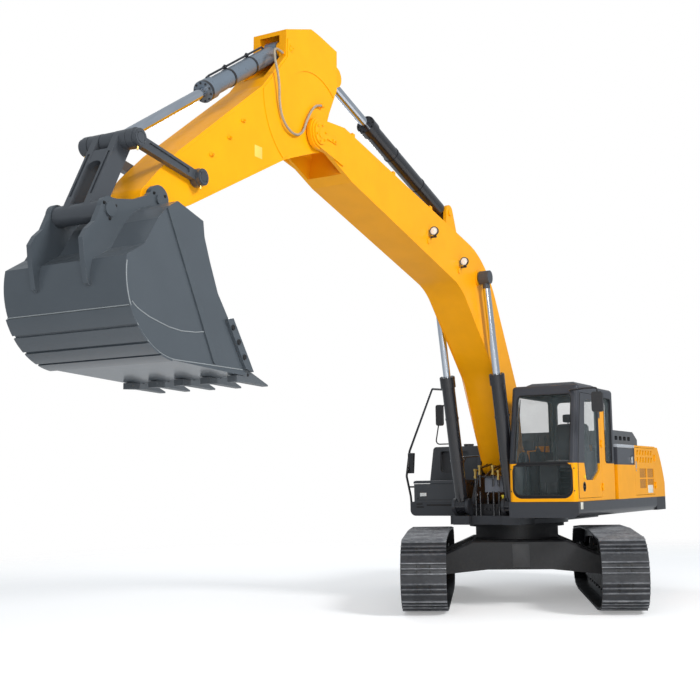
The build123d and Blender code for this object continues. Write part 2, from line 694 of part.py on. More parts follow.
def right_pane_face(inset):
    """Long window on the boom side, in the side view."""
    rear = CAB_REAR + 110 + inset
    low, high = CAB_SILL + 20 + inset, DOOR_TOP - 20 - inset
    return eased([(rear, low), (cab_front(low, 150 + inset), low),
                  (cab_front(high, 150 + inset), high), (rear, high)], 60, range(4))


def cab_shell():
    """Hollow cab with rounded pillars and roof, and its window and door openings."""
    body = slab(cab_side_profile(), CAB_RIGHT, CAB_LEFT)

    def outer(edge):
        at = edge.center()
        on_side = min(abs(at.Y - CAB_RIGHT), abs(at.Y - CAB_LEFT)) < 1 and at.Z > CAB_FLOOR + 1
        return on_side or (at.Z > CAB_ROOF - 1)
    body = fillet(body.edges().filter_by(outer), CAB_CORNER)
    body -= slab(offset(cab_side_profile(), -CAB_WALL), CAB_RIGHT + CAB_WALL, CAB_LEFT - CAB_WALL)
    body -= lengthwise(windscreen_face(0), CAB_ROOF_FRONT - 200, CAB_FRONT + 50)
    body -= lengthwise(front_pane_face(0), CAB_FRONT - 100, CAB_FRONT + 50)
    body -= lengthwise(rear_pane_face(0), CAB_REAR - 50, CAB_REAR + 100)
    body -= slab(door_outline(DOOR_GAP), CAB_LEFT - CAB_WALL - 5, CAB_LEFT + 50)
    body -= slab(quarter_pane_face(0), CAB_LEFT - 100, CAB_LEFT + 50)
    body -= slab(right_pane_face(0), CAB_RIGHT - 50, CAB_RIGHT + 100)
    body -= block(HATCH_REAR + 30, HATCH_FRONT - 30, CAB_RIGHT + 150, CAB_LEFT - 150,
                  CAB_ROOF - 100, CAB_ROOF + 50)
    return body + cab_door_hinge()[0] + hatch_hinge()[0]


def cab_glass():
    """Window panes of the cab body, each in the middle of its wall."""
    middle = CAB_WALL / 2
    lean = outline([(cab_front(z, back), z) for z, back in
                    ((CAB_SILL, middle), (CAB_ROOF, middle), (CAB_ROOF, middle - GLASS),
                     (CAB_SILL, middle - GLASS))])
    upper = slab(lean, CAB_RIGHT, CAB_LEFT) & lengthwise(windscreen_face(SEAT), 0, CAB_FRONT + 50)
    lower = lengthwise(front_pane_face(SEAT), CAB_FRONT - middle, CAB_FRONT - middle + GLASS)
    rear = lengthwise(rear_pane_face(SEAT), CAB_REAR + middle, CAB_REAR + middle + GLASS)
    quarter = slab(quarter_pane_face(SEAT), CAB_LEFT - middle, CAB_LEFT - middle + GLASS)
    right = slab(right_pane_face(SEAT), CAB_RIGHT + middle, CAB_RIGHT + middle + GLASS)
    return Part() + [upper, lower, rear, quarter, right]


def door_outline(grow):
    """Outline of the cab door, or of its opening when grown by the gap."""
    low, high = DOOR_BOTTOM - grow, DOOR_TOP + grow
    return eased([(DOOR_REAR - grow, low), (cab_front(low, DOOR_SETBACK - grow), low),
                  (cab_front(CAB_SILL, DOOR_SETBACK - grow), CAB_SILL),
                  (cab_front(high, DOOR_SETBACK - grow), high), (DOOR_REAR - grow, high)],
                 40, (0, 1, 3, 4))


def door_window(inset):
    """Window of the door, with both lower corners cut off."""
    top = DOOR_TOP - 80 - inset
    rear = DOOR_REAR + 85 + inset
    low = DOOR_BOTTOM + 240 + inset
    return eased([(rear, low + 133), (rear + 265, low), (cab_front(low, 415), low),
                  (cab_front(CAB_SILL, 350 + inset), CAB_SILL),
                  (cab_front(top, 285 + inset), top), (rear, top)], 40, (0, 1, 2, 4, 5))


def cab_door():
    """Door leaf as thick as the cab wall, with its window cut and a recessed handle."""
    leaf = slab(door_outline(0), CAB_LEFT - CAB_WALL, CAB_LEFT)
    leaf -= slab(door_window(0), CAB_LEFT - 100, CAB_LEFT + 50)
    handle = (cab_front(LATCH_Z, 330), LATCH_Z)
    leaf -= rod(handle, 48, CAB_LEFT - 18, CAB_LEFT + 10)
    leaf += slab(strap((handle[0] - 26, LATCH_Z), 10, (handle[0] + 26, LATCH_Z), 10),
                 CAB_LEFT - 20, CAB_LEFT - 2)
    return leaf + cab_door_hinge()[1]


def door_glass():
    middle = CAB_WALL / 2
    return slab(door_window(SEAT), CAB_LEFT - middle, CAB_LEFT - middle + GLASS)


def roof_hatch():
    """Raised roof hatch above the roof opening, its edges falling away all round."""
    low, high = CAB_RIGHT + 120, CAB_LEFT - 120
    cover = block(HATCH_REAR, HATCH_FRONT, low, high, CAB_ROOF + SIDE_GAP, CAB_ROOF + 55)
    rim = cover.faces().sort_by(Axis.Z)[-1].edges()
    return chamfer(rim, 30, 60) + hatch_hinge()[1]


def operator_seat():
    """Seat base, cushion and backrest."""
    base = block(250, 650, 780, 1180, CAB_FLOOR + CAB_WALL + SEAT, 1900)
    cushion = block(180, 720, 720, 1240, 1900 - OVERLAP, 2030)
    back = block(120, 240, 740, 1220, 1950, 2700)
    return base + cushion + back


def console():
    """Side consoles with their levers and the travel levers in front."""
    left = block(250, 800, 1260, 1380, CAB_FLOOR + CAB_WALL + SEAT, 2150)
    right = block(250, 900, 580, 700, CAB_FLOOR + CAB_WALL + SEAT, 2150)
    pedals = block(1150, 1250, 850, 1110, CAB_FLOOR + CAB_WALL + SEAT, 2000)
    return Part() + [left, right, pedals]


# Machinery housing

def left_door_hinge():
    return side_hinge(1, HOUSE_REAR + 50, HOUSE_HALF, (1640, 2080))


def pump_door_hinge():
    return side_hinge(-1, HOUSE_REAR + 50, HOUSE_RIGHT, (1640, 2080))


def hood_hinge():
    return cross_hinge(HOOD[0], HOUSING_TOP, (HOOD[2] + 250, HOOD[3] - 250))


def door_heights():
    """Bottom and top of the door openings in the housing."""
    return DECK_TOP + SEAT + 40, HOUSING_TOP - 30


def screen_corners(gap):
    """Rear, front, bottom and top of the dark side panel, or of its opening."""
    return (LEFT_DOOR_FRONT + 30 + gap, FIREWALL_X - 40 - gap, SCREEN_BOTTOM + gap,
            HOUSING_TOP - DOOR_THICK - gap)


def machinery_housing():
    """Panels round the engine bay, with openings for the hood, side doors and side panel."""
    base = DECK_TOP + SEAT
    outer = block(HOUSE_REAR + SEAT, FIREWALL_X, -HOUSE_RIGHT, HOUSE_HALF, base, HOUSING_TOP)
    tank_room = block(TANK_REAR - SIDE_GAP, 0, -HOUSE_RIGHT - 10, DECK_INNER_RIGHT + SIDE_GAP,
                      base - 10, HOUSING_TOP + 10)
    inner = block(HOUSE_REAR + 40, FIREWALL_X - 40, -HOUSE_RIGHT + DOOR_THICK,
                  HOUSE_HALF - DOOR_THICK, base - 10, HOUSING_TOP - DOOR_THICK)
    room = block(TANK_REAR - SIDE_GAP - DOOR_THICK, 0, -HOUSE_RIGHT, DECK_INNER_RIGHT + 46,
                 base - 10, HOUSING_TOP - DOOR_THICK)
    shell = outer - tank_room - (inner - room)
    rear, front, right, left = HOOD
    shell -= block(rear + 60, front - 60, right + 60, left - 60, HOUSING_TOP - 100, HOUSING_TOP + 10)
    low, high = door_heights()
    shell -= block(HOUSE_REAR + 50, LEFT_DOOR_FRONT, HOUSE_HALF - 100, HOUSE_HALF + 10, low, high)
    shell -= block(HOUSE_REAR + 50, TANK_REAR - 60, -HOUSE_RIGHT - 10, -HOUSE_RIGHT + 100, low, high)
    rear, front, low, high = screen_corners(0)
    shell -= block(rear, front, HOUSE_HALF - 100, HOUSE_HALF + 10, low, high)
    return shell + left_door_hinge()[0] + pump_door_hinge()[0] + hood_hinge()[0]


def side_panel():
    """Dark panel behind the cab, a little inside the skin, with a grip at its lower rear."""
    rear, front, low, high = screen_corners(SEAT)
    panel = block(rear, front, HOUSE_HALF - 34, HOUSE_HALF - 8, low, high)
    return panel + block(rear + 60, rear + 90, HOUSE_HALF - 10, HOUSE_HALF + 12, low + 20, low + 130)


def side_door(side, skin, x_rear, x_front):
    """Hinged door in the side of the machinery housing, with rows of slanted louvres."""
    low, high = door_heights()
    inside, outside = sorted((side * (skin - DOOR_THICK), side * skin))
    leaf = block(x_rear + SIDE_GAP, x_front - SIDE_GAP, inside, outside,
                 low + SIDE_GAP, high - SIDE_GAP)
    count = int((x_front - x_rear - LOUVRE_WIDTH - 100) / LOUVRE_PITCH)
    slots = []
    for z_low, z_high in LOUVRE_ROWS:
        for index in range(count):
            x = x_front - 100 - LOUVRE_WIDTH - index * LOUVRE_PITCH
            slots.append(outline([(x, z_low), (x + LOUVRE_WIDTH, z_low),
                                  (x + LOUVRE_WIDTH - 40, z_high), (x - 40, z_high)]))
    for slot in slots:
        leaf -= slab(slot, inside - 5, outside + 5)
    return leaf


def rear_left_door():
    """Left rear door with four recessed screens below the louvres."""
    leaf = side_door(1, HOUSE_HALF, HOUSE_REAR + 50, LEFT_DOOR_FRONT)
    for x in (LEFT_DOOR_FRONT - 640, LEFT_DOOR_FRONT - 1085):
        for z in (1600, 1765):
            leaf -= block(x, x + 385, HOUSE_HALF - 8, HOUSE_HALF + 5, z, z + 140)
    return leaf + left_door_hinge()[1]


def pump_door():
    leaf = side_door(-1, HOUSE_RIGHT, HOUSE_REAR + 50, TANK_REAR - 60)
    return leaf + pump_door_hinge()[1]


def engine_hood():
    """Raised hood over the engine, hollow below."""
    rear, front, right, left = HOOD
    base = HOUSING_TOP + SIDE_GAP
    top = base + HOOD_HEIGHT
    face = outline([(rear, base), (front, base), (front, top), (rear + 260, top), (rear, top - 120)])
    outer = slab(face, right, left)
    inside = slab(offset(face, -DOOR_THICK), right + DOOR_THICK, left - DOOR_THICK)
    mouth = block(rear + DOOR_THICK, front - DOOR_THICK, right + DOOR_THICK, left - DOOR_THICK,
                  base - 10, base + 60)
    shell = outer - inside - mouth
    for index in range(HOOD_SLOTS):
        x = front - 230 - index * 230
        slot = eased([(x, top - 150), (x + 150, top - 150), (x + 150, top - 85), (x, top - 85)],
                     20, range(4))
        shell -= slab(slot, right - 10, left + 10)
    return shell + hood_hinge()[1]


def engine_block():
    """Engine and pump as one plain mass behind the centre plate."""
    return block(-2350, TANK_REAR - 90, DECK_INNER_RIGHT + 40, DECK_INNER_LEFT - 40,
                 CENTRE_TOP + SEAT, 2050)


def tank_side(top):
    """Foot and head of the leaning outer side of a tank, in the front view."""
    return (-HOUSE_RIGHT, DECK_TOP + 300), (-HOUSE_RIGHT + TANK_LEAN, top)


def tank(x_rear, x_front, top):
    """Plate tank: its outer side leans in above the toolbox, and its upper edge is round."""
    waist, shoulder = tank_side(top)
    low = DECK_TOP + SEAT
    section = eased([(DECK_INNER_RIGHT, low), (DECK_INNER_RIGHT, top), shoulder, waist,
                     (-HOUSE_RIGHT, low)], 55, (2,))
    shell = lengthwise(section, x_rear, x_front)
    cap = (between((x_rear, 0), (x_front, 0), 0.5)[0], DECK_INNER_RIGHT - 300)
    return shell + upright(disc(cap, 70), top - OVERLAP, top + 34)


def fuel_tank():
    """Front tank with the step recess that opens forward over the toolbox."""
    recess = eased([(-1262, 1890), (-780, 1890), (-780, 2220), (-1262, 2220)], 45, range(4))
    body = tank(TANK_REAR / 2 + SIDE_GAP, TANK_FRONT, TANK_TOP)
    return body - lengthwise(recess, TANK_FRONT - 110, TANK_FRONT + 10)


def hydraulic_tank():
    return tank(TANK_REAR, TANK_REAR / 2, HYDRAULIC_TOP)


def lid_axis():
    """Height and side place of the toolbox lid's hinge line."""
    return DECK_INNER_RIGHT - 40 + HINGE_RADIUS + 2, TOOLBOX_TOP + SIDE_GAP / 2


def lid_swing():
    """Radius that the outer top edge of the toolbox lid sweeps about its hinge line."""
    y, z = lid_axis()
    return math.hypot(y + TOOLBOX_RIGHT + LID_LIP, TOOLBOX_TOP + SIDE_GAP + LID_THICK - z)


def toolbox_hinge():
    """Hinge along the inner top edge of the toolbox."""
    out = HINGE_RADIUS + 2
    return hinge_row((0, *lid_axis()), "x", (120, 480), ((0, -out - OVERLAP, -40), (0, 0, -4)),
                     ((0, -out - OVERLAP, 4), (0, 0, 24)))


def toolbox():
    """Low box in front of the fuel tank, open inside, with a lid on top."""
    x_rear, x_front = TANK_FRONT + 10, DECK_FRONT_RIGHT
    plan = [(x_rear, -TOOLBOX_RIGHT), (x_front, -TOOLBOX_RIGHT),
            (x_front, DECK_INNER_RIGHT - 40), (x_rear, DECK_INNER_RIGHT - 40)]
    box = upright(eased(plan, 50, (1,)), DECK_TOP + SEAT, TOOLBOX_TOP)
    hollow = block(x_rear + PANEL, x_front - PANEL, -TOOLBOX_RIGHT + PANEL,
                   DECK_INNER_RIGHT - 70, DECK_TOP + 40, TOOLBOX_TOP + 10)
    return box - hollow + toolbox_hinge()[0]


def toolbox_lid():
    """Lid with its front and outer edges rounded down over the box."""
    x_rear, x_front = TANK_FRONT + 16, DECK_FRONT_RIGHT + LID_LIP
    plan = [(x_rear, -TOOLBOX_RIGHT - LID_LIP), (x_front, -TOOLBOX_RIGHT - LID_LIP),
            (x_front, DECK_INNER_RIGHT - 40), (x_rear, DECK_INNER_RIGHT - 40)]
    low = TOOLBOX_TOP + SIDE_GAP
    lid = upright(eased(plan, 58, (1,)), low, low + LID_THICK)

    def outer(edge):
        at = edge.center()
        return at.Z > low + LID_THICK - 1 and (at.Y < -TOOLBOX_RIGHT + 30 or at.X > x_front - 20)
    return fillet(lid.edges().filter_by(outer), 26) + toolbox_hinge()[1]


def rail_pipe(points, radius, bend):
    """Bent pipe along straight runs with even bends."""
    path = FilletPolyline(*points, radius=bend)
    plane = Plane(origin=path @ 0, z_dir=path % 0)
    return sweep(plane * Circle(radius), path=path)


def handrails():
    """Tall grab rail at the right front, from the deck up and back to the rear tank."""
    y = -HOUSE_RIGHT - RAIL_RADIUS - 34
    foot = (500, DECK_TOP - 70)
    back = (-980, TANK_TOP - 120)
    points = [(foot[0], y, foot[1]), (525, y, 1533), (655, y, 1838), (535, y, 2222),
              (-324, y, 3232), (back[0], y, 3258), (back[0], y, back[1])]
    rail = rail_pipe(points, RAIL_RADIUS, 55)
    waist, shoulder = tank_side(HYDRAULIC_TOP)
    skin = between(waist, shoulder, (back[1] - RAIL_RADIUS - waist[1]) / (shoulder[1] - waist[1]))[0]
    feet = [rod(foot, RAIL_RADIUS, y, -HOUSE_RIGHT - SEAT),
            rod(back, RAIL_RADIUS, y, skin - SEAT),
            rod((585, 1675), RAIL_RADIUS - 4, y, -TOOLBOX_RIGHT - SEAT)]
    inner = lid_axis()[0] - lid_swing() - RUN - 2
    plate = slab(eased([(560, 1880), (600, 1880), (590, 2190), (520, 2190)], 14, range(4)),
                 y - 5, inner)
    return rail + feet + plate


def mirror_head(x, y, z, width, height):
    """Rounded mirror housing that looks backwards."""
    head = block(x - 28, x + 28, y - width / 2, y + width / 2, z - height / 2, z + height / 2)
    return fillet(head.edges().filter_by(Axis.X), 34)


def mirrors():
    """Mirror on a bent arm at the front left of the cab, and one on a loop on the tank."""
    z = CAB_ROOF - 100
    start = cab_front(z - 12, -SEAT)
    ahead = CAB_FRONT + 37
    arm = rail_pipe([(start, 1380, z), (start + 110, 1380, z), (ahead, 1620, z + 8),
                     (ahead, 1800, z + 8), (ahead, 1800, z - 90)], 12, 34)
    left = arm + mirror_head(ahead, 1800, z - 180, 150, 270)
    x, post, edge = TANK_FRONT - 50, -1100, -1360
    top = 2940
    stand = rail_pipe([(x, post, TANK_TOP + SEAT), (x, post, top), (x, -1260, top)], 12, 40)
    loop = rail_pipe([(x, post - 6, TANK_TOP + 45), (x, edge, TANK_TOP + 45), (x, -1290, 2700)],
                     10, 60)
    return Part() + [left, stand + loop + mirror_head(x, -1278, 2790, 118, 330)]


# Boom and its cylinders

def boom_profile():
    """Side view of the boom: two limbs that meet in a wide knee."""
    bottom_knee = (2443, 4345)
    points = [(BOOM_FOOT[0] - FOOT_RADIUS, BOOM_FOOT[1]), (470, 3050), TOP_KNEE, TOP_END,
              (BOOM_TIP[0] + 30, BOOM_TIP[1] + TIP_RADIUS - 4),
              (BOOM_TIP[0] + 20, BOOM_TIP[1] - TIP_RADIUS + 2), (5930, 5322), (5382, 5110),
              bottom_knee, (1250, 3220), (BOOM_FOOT[0] + FOOT_RADIUS - 6, BOOM_FOOT[1] - 40)]
    face = outline(points)

    def corner(at):
        return [v for v in face.vertices() if abs(v.X - at[0]) < 1 and abs(v.Y - at[1]) < 1]
    face = fillet(corner(TOP_KNEE), 1400)
    face = fillet([v for v in face.vertices() if abs(v.X - bottom_knee[0]) < 1], 900)
    face = fillet([v for v in face.vertices() if abs(v.X - 1250) < 1], 700)
    face = fillet([v for v in face.vertices() if abs(v.X - 470) < 1], 600)
    return face


def boom():
    """Box-section boom with a forked tip, closed round the foot boss."""
    profile = boom_profile()
    body = slab(profile + disc(BOOM_FOOT, FOOT_RADIUS) + disc(BOOM_TIP, TIP_RADIUS),
                -BOOM_HALF, BOOM_HALF)
    hollow = slab(offset(profile, -BOOM_WALL), -BOOM_HALF + BOOM_WALL, BOOM_HALF - BOOM_WALL)
    hollow -= rod(BOOM_FOOT, FOOT_RADIUS + 20, -BOOM_HALF, BOOM_HALF)
    hollow -= rod(BOOM_TIP, FORK_REACH + 30, -BOOM_HALF, BOOM_HALF)
    body -= hollow
    inside = BOOM_HALF - FORK_WALL
    body -= rod(BOOM_TIP, FORK_REACH, -inside, inside)
    body += rod(BOOM_FOOT, FOOT_RADIUS - 15, -BRACKET_INNER + RUN, BRACKET_INNER - RUN)
    body -= rod(BOOM_FOOT, FOOT_PIN + PIN_FIT, -BRACKET_INNER, BRACKET_INNER)
    body += rod(BOOM_TIP, TIP_PIN, -BOOM_HALF - 40, BOOM_HALF + 40)
    doubler = slab(strap(BOOM_TIP, TIP_RADIUS - 20, (5620, 5290), 45), BOOM_HALF - OVERLAP,
                   BOOM_HALF + 18)
    boss = rod(BOOM_TIP, TIP_RADIUS - 50, BOOM_HALF, BOOM_HALF + 34)
    keeper = slab(strap(between(BOOM_TIP, (5781, 5467), 0.3), 24, (5781, 5467), 24), BOOM_HALF,
                  BOOM_HALF + 30)
    lift = rod(LIFT_EYE, 110, BOOM_HALF - OVERLAP, LIFT_Y - EYE_HALF - RUN - 12)
    body += both_sides(doubler + boss + keeper + lift)
    lug = slab(strap(CROWD_FOOT, LUG_RADIUS, (CROWD_FOOT[0] - 60, CROWD_FOOT[1] - 360), 190),
               EYE_HALF + RUN, EYE_HALF + RUN + CLEVIS_PLATE)
    lug -= slab(offset(profile, -BOOM_WALL), -BOOM_HALF, BOOM_HALF)
    body += both_sides(lug)
    body += rod(CROWD_FOOT, LINKAGE_PIN, -EYE_HALF - RUN - CLEVIS_PLATE - 15,
                EYE_HALF + RUN + CLEVIS_PLATE + 15)
    for x, z in LAMP_SPOTS:
        body += slab(strap((x + 40, z - 115), 34, (x - 20, z - 62), 20), BOOM_HALF - OVERLAP,
                     BOOM_HALF + 14)
    return body + both_sides(boom_clamps())


def boom_top(x):
    """Height of the straight upper side of the boom."""
    share = (x - TOP_KNEE[0]) / (TOP_END[0] - TOP_KNEE[0])
    return between(TOP_KNEE, TOP_END, share)[1]


def pipe_run(grow):
    """Pipes on the upper side of the boom, left of the centre line."""
    slope = math.degrees(math.atan2(boom_top(5000) - boom_top(4000), 1000))
    runs = []
    for y in PIPE_Y:
        length = 5480 - 2700
        bar = Cylinder(PIPE_RADIUS + grow, length / math.cos(math.radians(slope)))
        at = (5480 + 2700) / 2
        runs.append(Pos(at, y, boom_top(at) + PIPE_RADIUS + 8) * (Rot(0, 90 - slope, 0) * bar))
    return Part() + runs


def boom_clamps():
    """Clamps that hold the pipes on the boom, left of the centre line."""
    clamps = []
    for x in CLAMP_X:
        z = boom_top(x)
        clamps.append(block(x - 30, x + 30, PIPE_Y[0] - 34, PIPE_Y[1] + 34, z - 12, z + 52))
    return Part() + clamps - pipe_run(SEAT)


def boom_pipes():
    return both_sides(pipe_run(0))


def boom_lamps():
    """Two round work lamps on the left side of the boom, each on a stalk."""
    lamps = []
    y = BOOM_HALF + 78
    for x, z in LAMP_SPOTS:
        cup = revolve(outline([(0, 0), (36, 0), (LAMP_RADIUS - 6, 42), (LAMP_RADIUS, 46),
                               (LAMP_RADIUS, 74), (LAMP_RADIUS - 8, 74), (LAMP_RADIUS - 8, 66),
                               (0, 66)]), Axis.Y)
        head = Pos(x - 36, y, z + 8) * (Rot(0, 0, -90) * cup)
        stalk = rod((x - 10, z - 58), 13, BOOM_HALF + 14 + SEAT, y + 13)
        post = Pos(x - 10, y, z - 58) * Cylinder(13, 60, align=(Align.CENTER, Align.CENTER, Align.MIN))
        lamps.append(head + stalk + post)
    return Part() + lamps


def barrel(foot, eye, y, outer, bore, rod_radius, length, pin):
    """Cylinder barrel with its foot eye and gland, pointing from foot to eye."""
    start = LUG_RADIUS + 20
    neck = Cylinder(EYE_HALF - 2, start + OVERLAP, align=(Align.CENTER, Align.CENTER, Align.MIN))
    tube = Pos(0, 0, start) * Cylinder(outer, length - start,
                                       align=(Align.CENTER, Align.CENTER, Align.MIN))
    gland = Pos(0, 0, length - 150) * Cylinder(outer + 16, 150,
                                               align=(Align.CENTER, Align.CENTER, Align.MIN))
    eye_boss = Rot(90, 0, 0) * Cylinder(LUG_RADIUS - 5, 2 * EYE_HALF)
    solid = tube + neck + gland + eye_boss
    chamber = Pos(0, 0, start + 12) * Cylinder(bore, length - start - 12 - 60,
                                               align=(Align.CENTER, Align.CENTER, Align.MIN))
    mouth = Pos(0, 0, length - 65) * Cylinder(rod_radius + PIN_FIT, 70,
                                               align=(Align.CENTER, Align.CENTER, Align.MIN))
    pin_hole = Rot(90, 0, 0) * Cylinder(pin + PIN_FIT, 2 * EYE_HALF + 10)
    solid = solid - chamber - mouth - pin_hole
    return Pos(foot[0], y, foot[1]) * (Rot(0, 90 - heading(foot, eye), 0) * solid)


def piston_rod(foot, eye, y, rod_radius, eye_radius, inside, half=EYE_HALF):
    """Rod with its closed eye, running back into the barrel by the length inside."""
    length = inside
    bar = Pos(0, 0, 0) * Cylinder(rod_radius, length, align=(Align.CENTER, Align.CENTER, Align.MIN))
    head = Rot(90, 0, 0) * Cylinder(eye_radius, 2 * half)
    return Pos(eye[0], y, eye[1]) * (Rot(0, 90 - heading(eye, foot), 0) * (bar + head))


# Arm and its cylinder

def arm_profile():
    """Side view of the arm: deep horn over the pivot, tapering to the bucket pin."""
    points = [(BOOM_TIP[0] - 40, BOOM_TIP[1] - ARM_BOSS + 12), (6690, 5070), (8290, 4258),
              polar(ARM_TIP, ARM_TIP_RADIUS, -115), polar(ARM_TIP, ARM_TIP_RADIUS, 50),
              (8755, 4465), (8450, 4730), (7700, 5290), (7100, 5735), (6660, 6190),
              (6650, 6480), (6140, 6655), (5970, 6640), (5590, 6580), (5600, 6130), (5775, 5815),
              (BOOM_TIP[0] - ARM_BOSS + 10, BOOM_TIP[1])]
    return outline(points) + disc(BOOM_TIP, ARM_BOSS) + disc(ARM_TIP, ARM_TIP_RADIUS)


def arm():
    """Box-section arm with its clevises and pins."""
    profile = arm_profile()
    body = slab(profile, -ARM_HALF, ARM_HALF)
    hollow = slab(offset(profile, -ARM_WALL), -ARM_HALF + ARM_WALL, ARM_HALF - ARM_WALL)
    hollow -= rod(BOOM_TIP, ARM_BOSS + 10, -ARM_HALF, ARM_HALF)
    hollow -= rod(ARM_TIP, ARM_TIP_RADIUS + 20, -ARM_HALF, ARM_HALF)
    hollow -= rod(LEVER_PIN, LEVER_BOSS, -ARM_HALF, ARM_HALF)
    pocket_y = CURL_BARREL + 14 + RUN * 3
    pocket_end = polar(CURL_FOOT, 900, heading(CURL_FOOT, ROD_PIN) + 4)
    pocket = strap(CURL_FOOT, CURL_BARREL + 70, pocket_end, 190)
    hollow -= slab(strap(CURL_FOOT, CURL_BARREL + 90, pocket_end, 210), -pocket_y - ARM_WALL,
                   pocket_y + ARM_WALL)
    body -= hollow
    body -= slab(pocket, -pocket_y, pocket_y)
    cheek = rod(CURL_FOOT, LUG_RADIUS - 15, EYE_HALF + RUN, pocket_y + OVERLAP)
    ear = slab(strap(ARM_EYE, 118, (5720, 6330), 200), CLEVIS_HALF, CLEVIS_HALF + CLEVIS_PLATE)
    ear -= slab(offset(profile, -ARM_WALL), -ARM_HALF, ARM_HALF)
    rim = disc((6350, 5700), 740) - disc(BOOM_TIP, FORK_REACH + 30)
    doubler = slab(offset(profile, -25) & rim, ARM_HALF - OVERLAP, ARM_HALF + 8)
    body += both_sides(cheek + ear + doubler)
    body += rod(CURL_FOOT, LINKAGE_PIN, -ARM_HALF - 12, ARM_HALF + 12)
    body += rod(LEVER_PIN, LINKAGE_PIN, -CAP_OUTER - 6, CAP_OUTER + 6) + hose_fittings()
    body += both_sides(rod(ARM_TIP, ARM_TIP_RADIUS - 10, ARM_HALF - OVERLAP, ARM_TIP_HALF))
    body -= rod(BOOM_TIP, TIP_PIN + PIN_FIT, -300, 300)
    body -= rod(ARM_TIP, BUCKET_PIN + PIN_FIT, -300, 300)
    return body


def hose_union(point, toward):
    """Round union that the hose leaves at the given point."""
    direction = Vector(*point) - Vector(*toward)
    return extrude(Plane(origin=point, z_dir=direction) * Circle(HOSE_RADIUS + 7), amount=44)


def hose_fittings():
    """Unions on the arm at both ends of the hose, the lower one on a small block."""
    x, y, z = HOSE_ROUTE[-1]
    lower = block(x - 46, x - 16, ARM_HALF - OVERLAP, y + 10, z - 12, z + 28)
    return lower + hose_union(HOSE_ROUTE[0], HOSE_ROUTE[1]) + hose_union(HOSE_ROUTE[-1], HOSE_ROUTE[-2])


def arm_hose():
    """Sheathed hose that hangs in a loop down the left side of the arm."""
    runs = [math.dist(HOSE_ROUTE[i], HOSE_ROUTE[i + 1]) for i in range(len(HOSE_ROUTE) - 1)]
    radii = []
    for i in range(1, len(HOSE_ROUTE) - 1):
        before = Vector(*HOSE_ROUTE[i]) - Vector(*HOSE_ROUTE[i - 1])
        after = Vector(*HOSE_ROUTE[i + 1]) - Vector(*HOSE_ROUTE[i])
        half_turn = math.radians(before.get_angle(after) / 2)
        radii.append(0.45 * min(runs[i - 1], runs[i]) / math.tan(half_turn))
    print("hose radii:", [round(radius) for radius in radii])
    path = FilletPolyline(*HOSE_ROUTE, radius=radii)
    return sweep(Plane(origin=path @ 0, z_dir=path % 0) * Circle(HOSE_RADIUS), path=path)


def side_levers():
    """Pair of levers from the arm to the rod pin, with the stub pins in the link."""
    waist = strap(LEVER_PIN, LEVER_WAIST, ROD_PIN, LEVER_WAIST + 6)
    bosses = disc(LEVER_PIN, LEVER_BOSS) + disc(ROD_PIN, LEVER_BOSS + 6)
    near, far = between(LEVER_PIN, ROD_PIN, 0.2), between(LEVER_PIN, ROD_PIN, 0.8)
    pocket = slab(strap(near, LEVER_WAIST - 24, far, LEVER_WAIST - 18), LEVER_OUTER - 14,
                  LEVER_OUTER + 5)
    plate = slab(waist + bosses, LEVER_INNER, LEVER_OUTER) - pocket
    caps = [rod(pin, LEVER_BOSS - 6, LEVER_OUTER - OVERLAP, CAP_OUTER) for pin in (LEVER_PIN, ROD_PIN)]
    plate += caps
    plate -= rod(LEVER_PIN, LINKAGE_PIN + PIN_FIT, 0, CAP_OUTER + 10)
    stub = rod(ROD_PIN, LINKAGE_PIN, EYE_HALF + RUN, LEVER_INNER + OVERLAP)
    stub += rod(ROD_PIN, LINKAGE_PIN, CAP_OUTER - OVERLAP, CAP_OUTER + 6)
    return both_sides(plate + stub)


def along(start, end, solid):
    """Place a solid whose X runs along a link, Z to the outside, at the link's first pin."""
    return Pos(start[0], 0, start[1]) * (Rot(0, -heading(start, end), 0) * solid)


def bucket_link():
    """H-shaped link: two ribbed legs with a cross web between them and a tube at each end."""
    inner = EYE_HALF + RUN
    outer = LEVER_INNER - RUN
    length = reach(ROD_PIN, LINK_PIN)
    leg = slab(strap(ROD_PIN, LINK_BOSS, LINK_PIN, LINK_BOSS), inner, inner + LINK_LEG)
    groove = block(length * 0.24, length * 0.84, inner + 20, inner + LINK_LEG - 20,
                   LINK_BOSS - 14, LINK_BOSS + 10)
    boss = rod(ROD_PIN, LINK_BOSS, inner, outer)
    tube = rod(LINK_PIN, LINK_BOSS, inner, EAR_INNER - RUN)
    side = leg - along(ROD_PIN, LINK_PIN, groove) + boss + tube
    side -= rod(ROD_PIN, LINKAGE_PIN + PIN_FIT, 0, 400)
    cross = rod(LINK_PIN, LINK_BOSS, -inner - OVERLAP, inner + OVERLAP)
    wide = inner + OVERLAP
    near, far = LINK_BOSS + 62, length * 0.42
    arch = make_face(Polyline((far, -wide), (near, -wide), (near, wide), (far, wide))
                     + ThreePointArc((far, wide), (far - 52, 0), (far, -wide)))
    web = along(ROD_PIN, LINK_PIN, upright(arch, 30, LINK_BOSS - 4))
    return both_sides(side) + cross + web


# Bucket

def heel_arc(radius, start_angle, end_angle):
    """Arc round the heel of the bucket."""
    middle = (start_angle + end_angle) / 2
    return ThreePointArc(*(polar(HEEL_CENTRE, radius, angle)
                           for angle in (start_angle, middle, end_angle)))


def side_face():
    """Side wall of the bucket."""
    arc = heel_arc(HEEL_RADIUS, HEEL_TOP, -90)
    rest = Polyline(arc @ 1, LIP, *SIDE_EDGE, *reversed(BACK_EDGE), arc @ 0)
    return make_face(arc + rest)


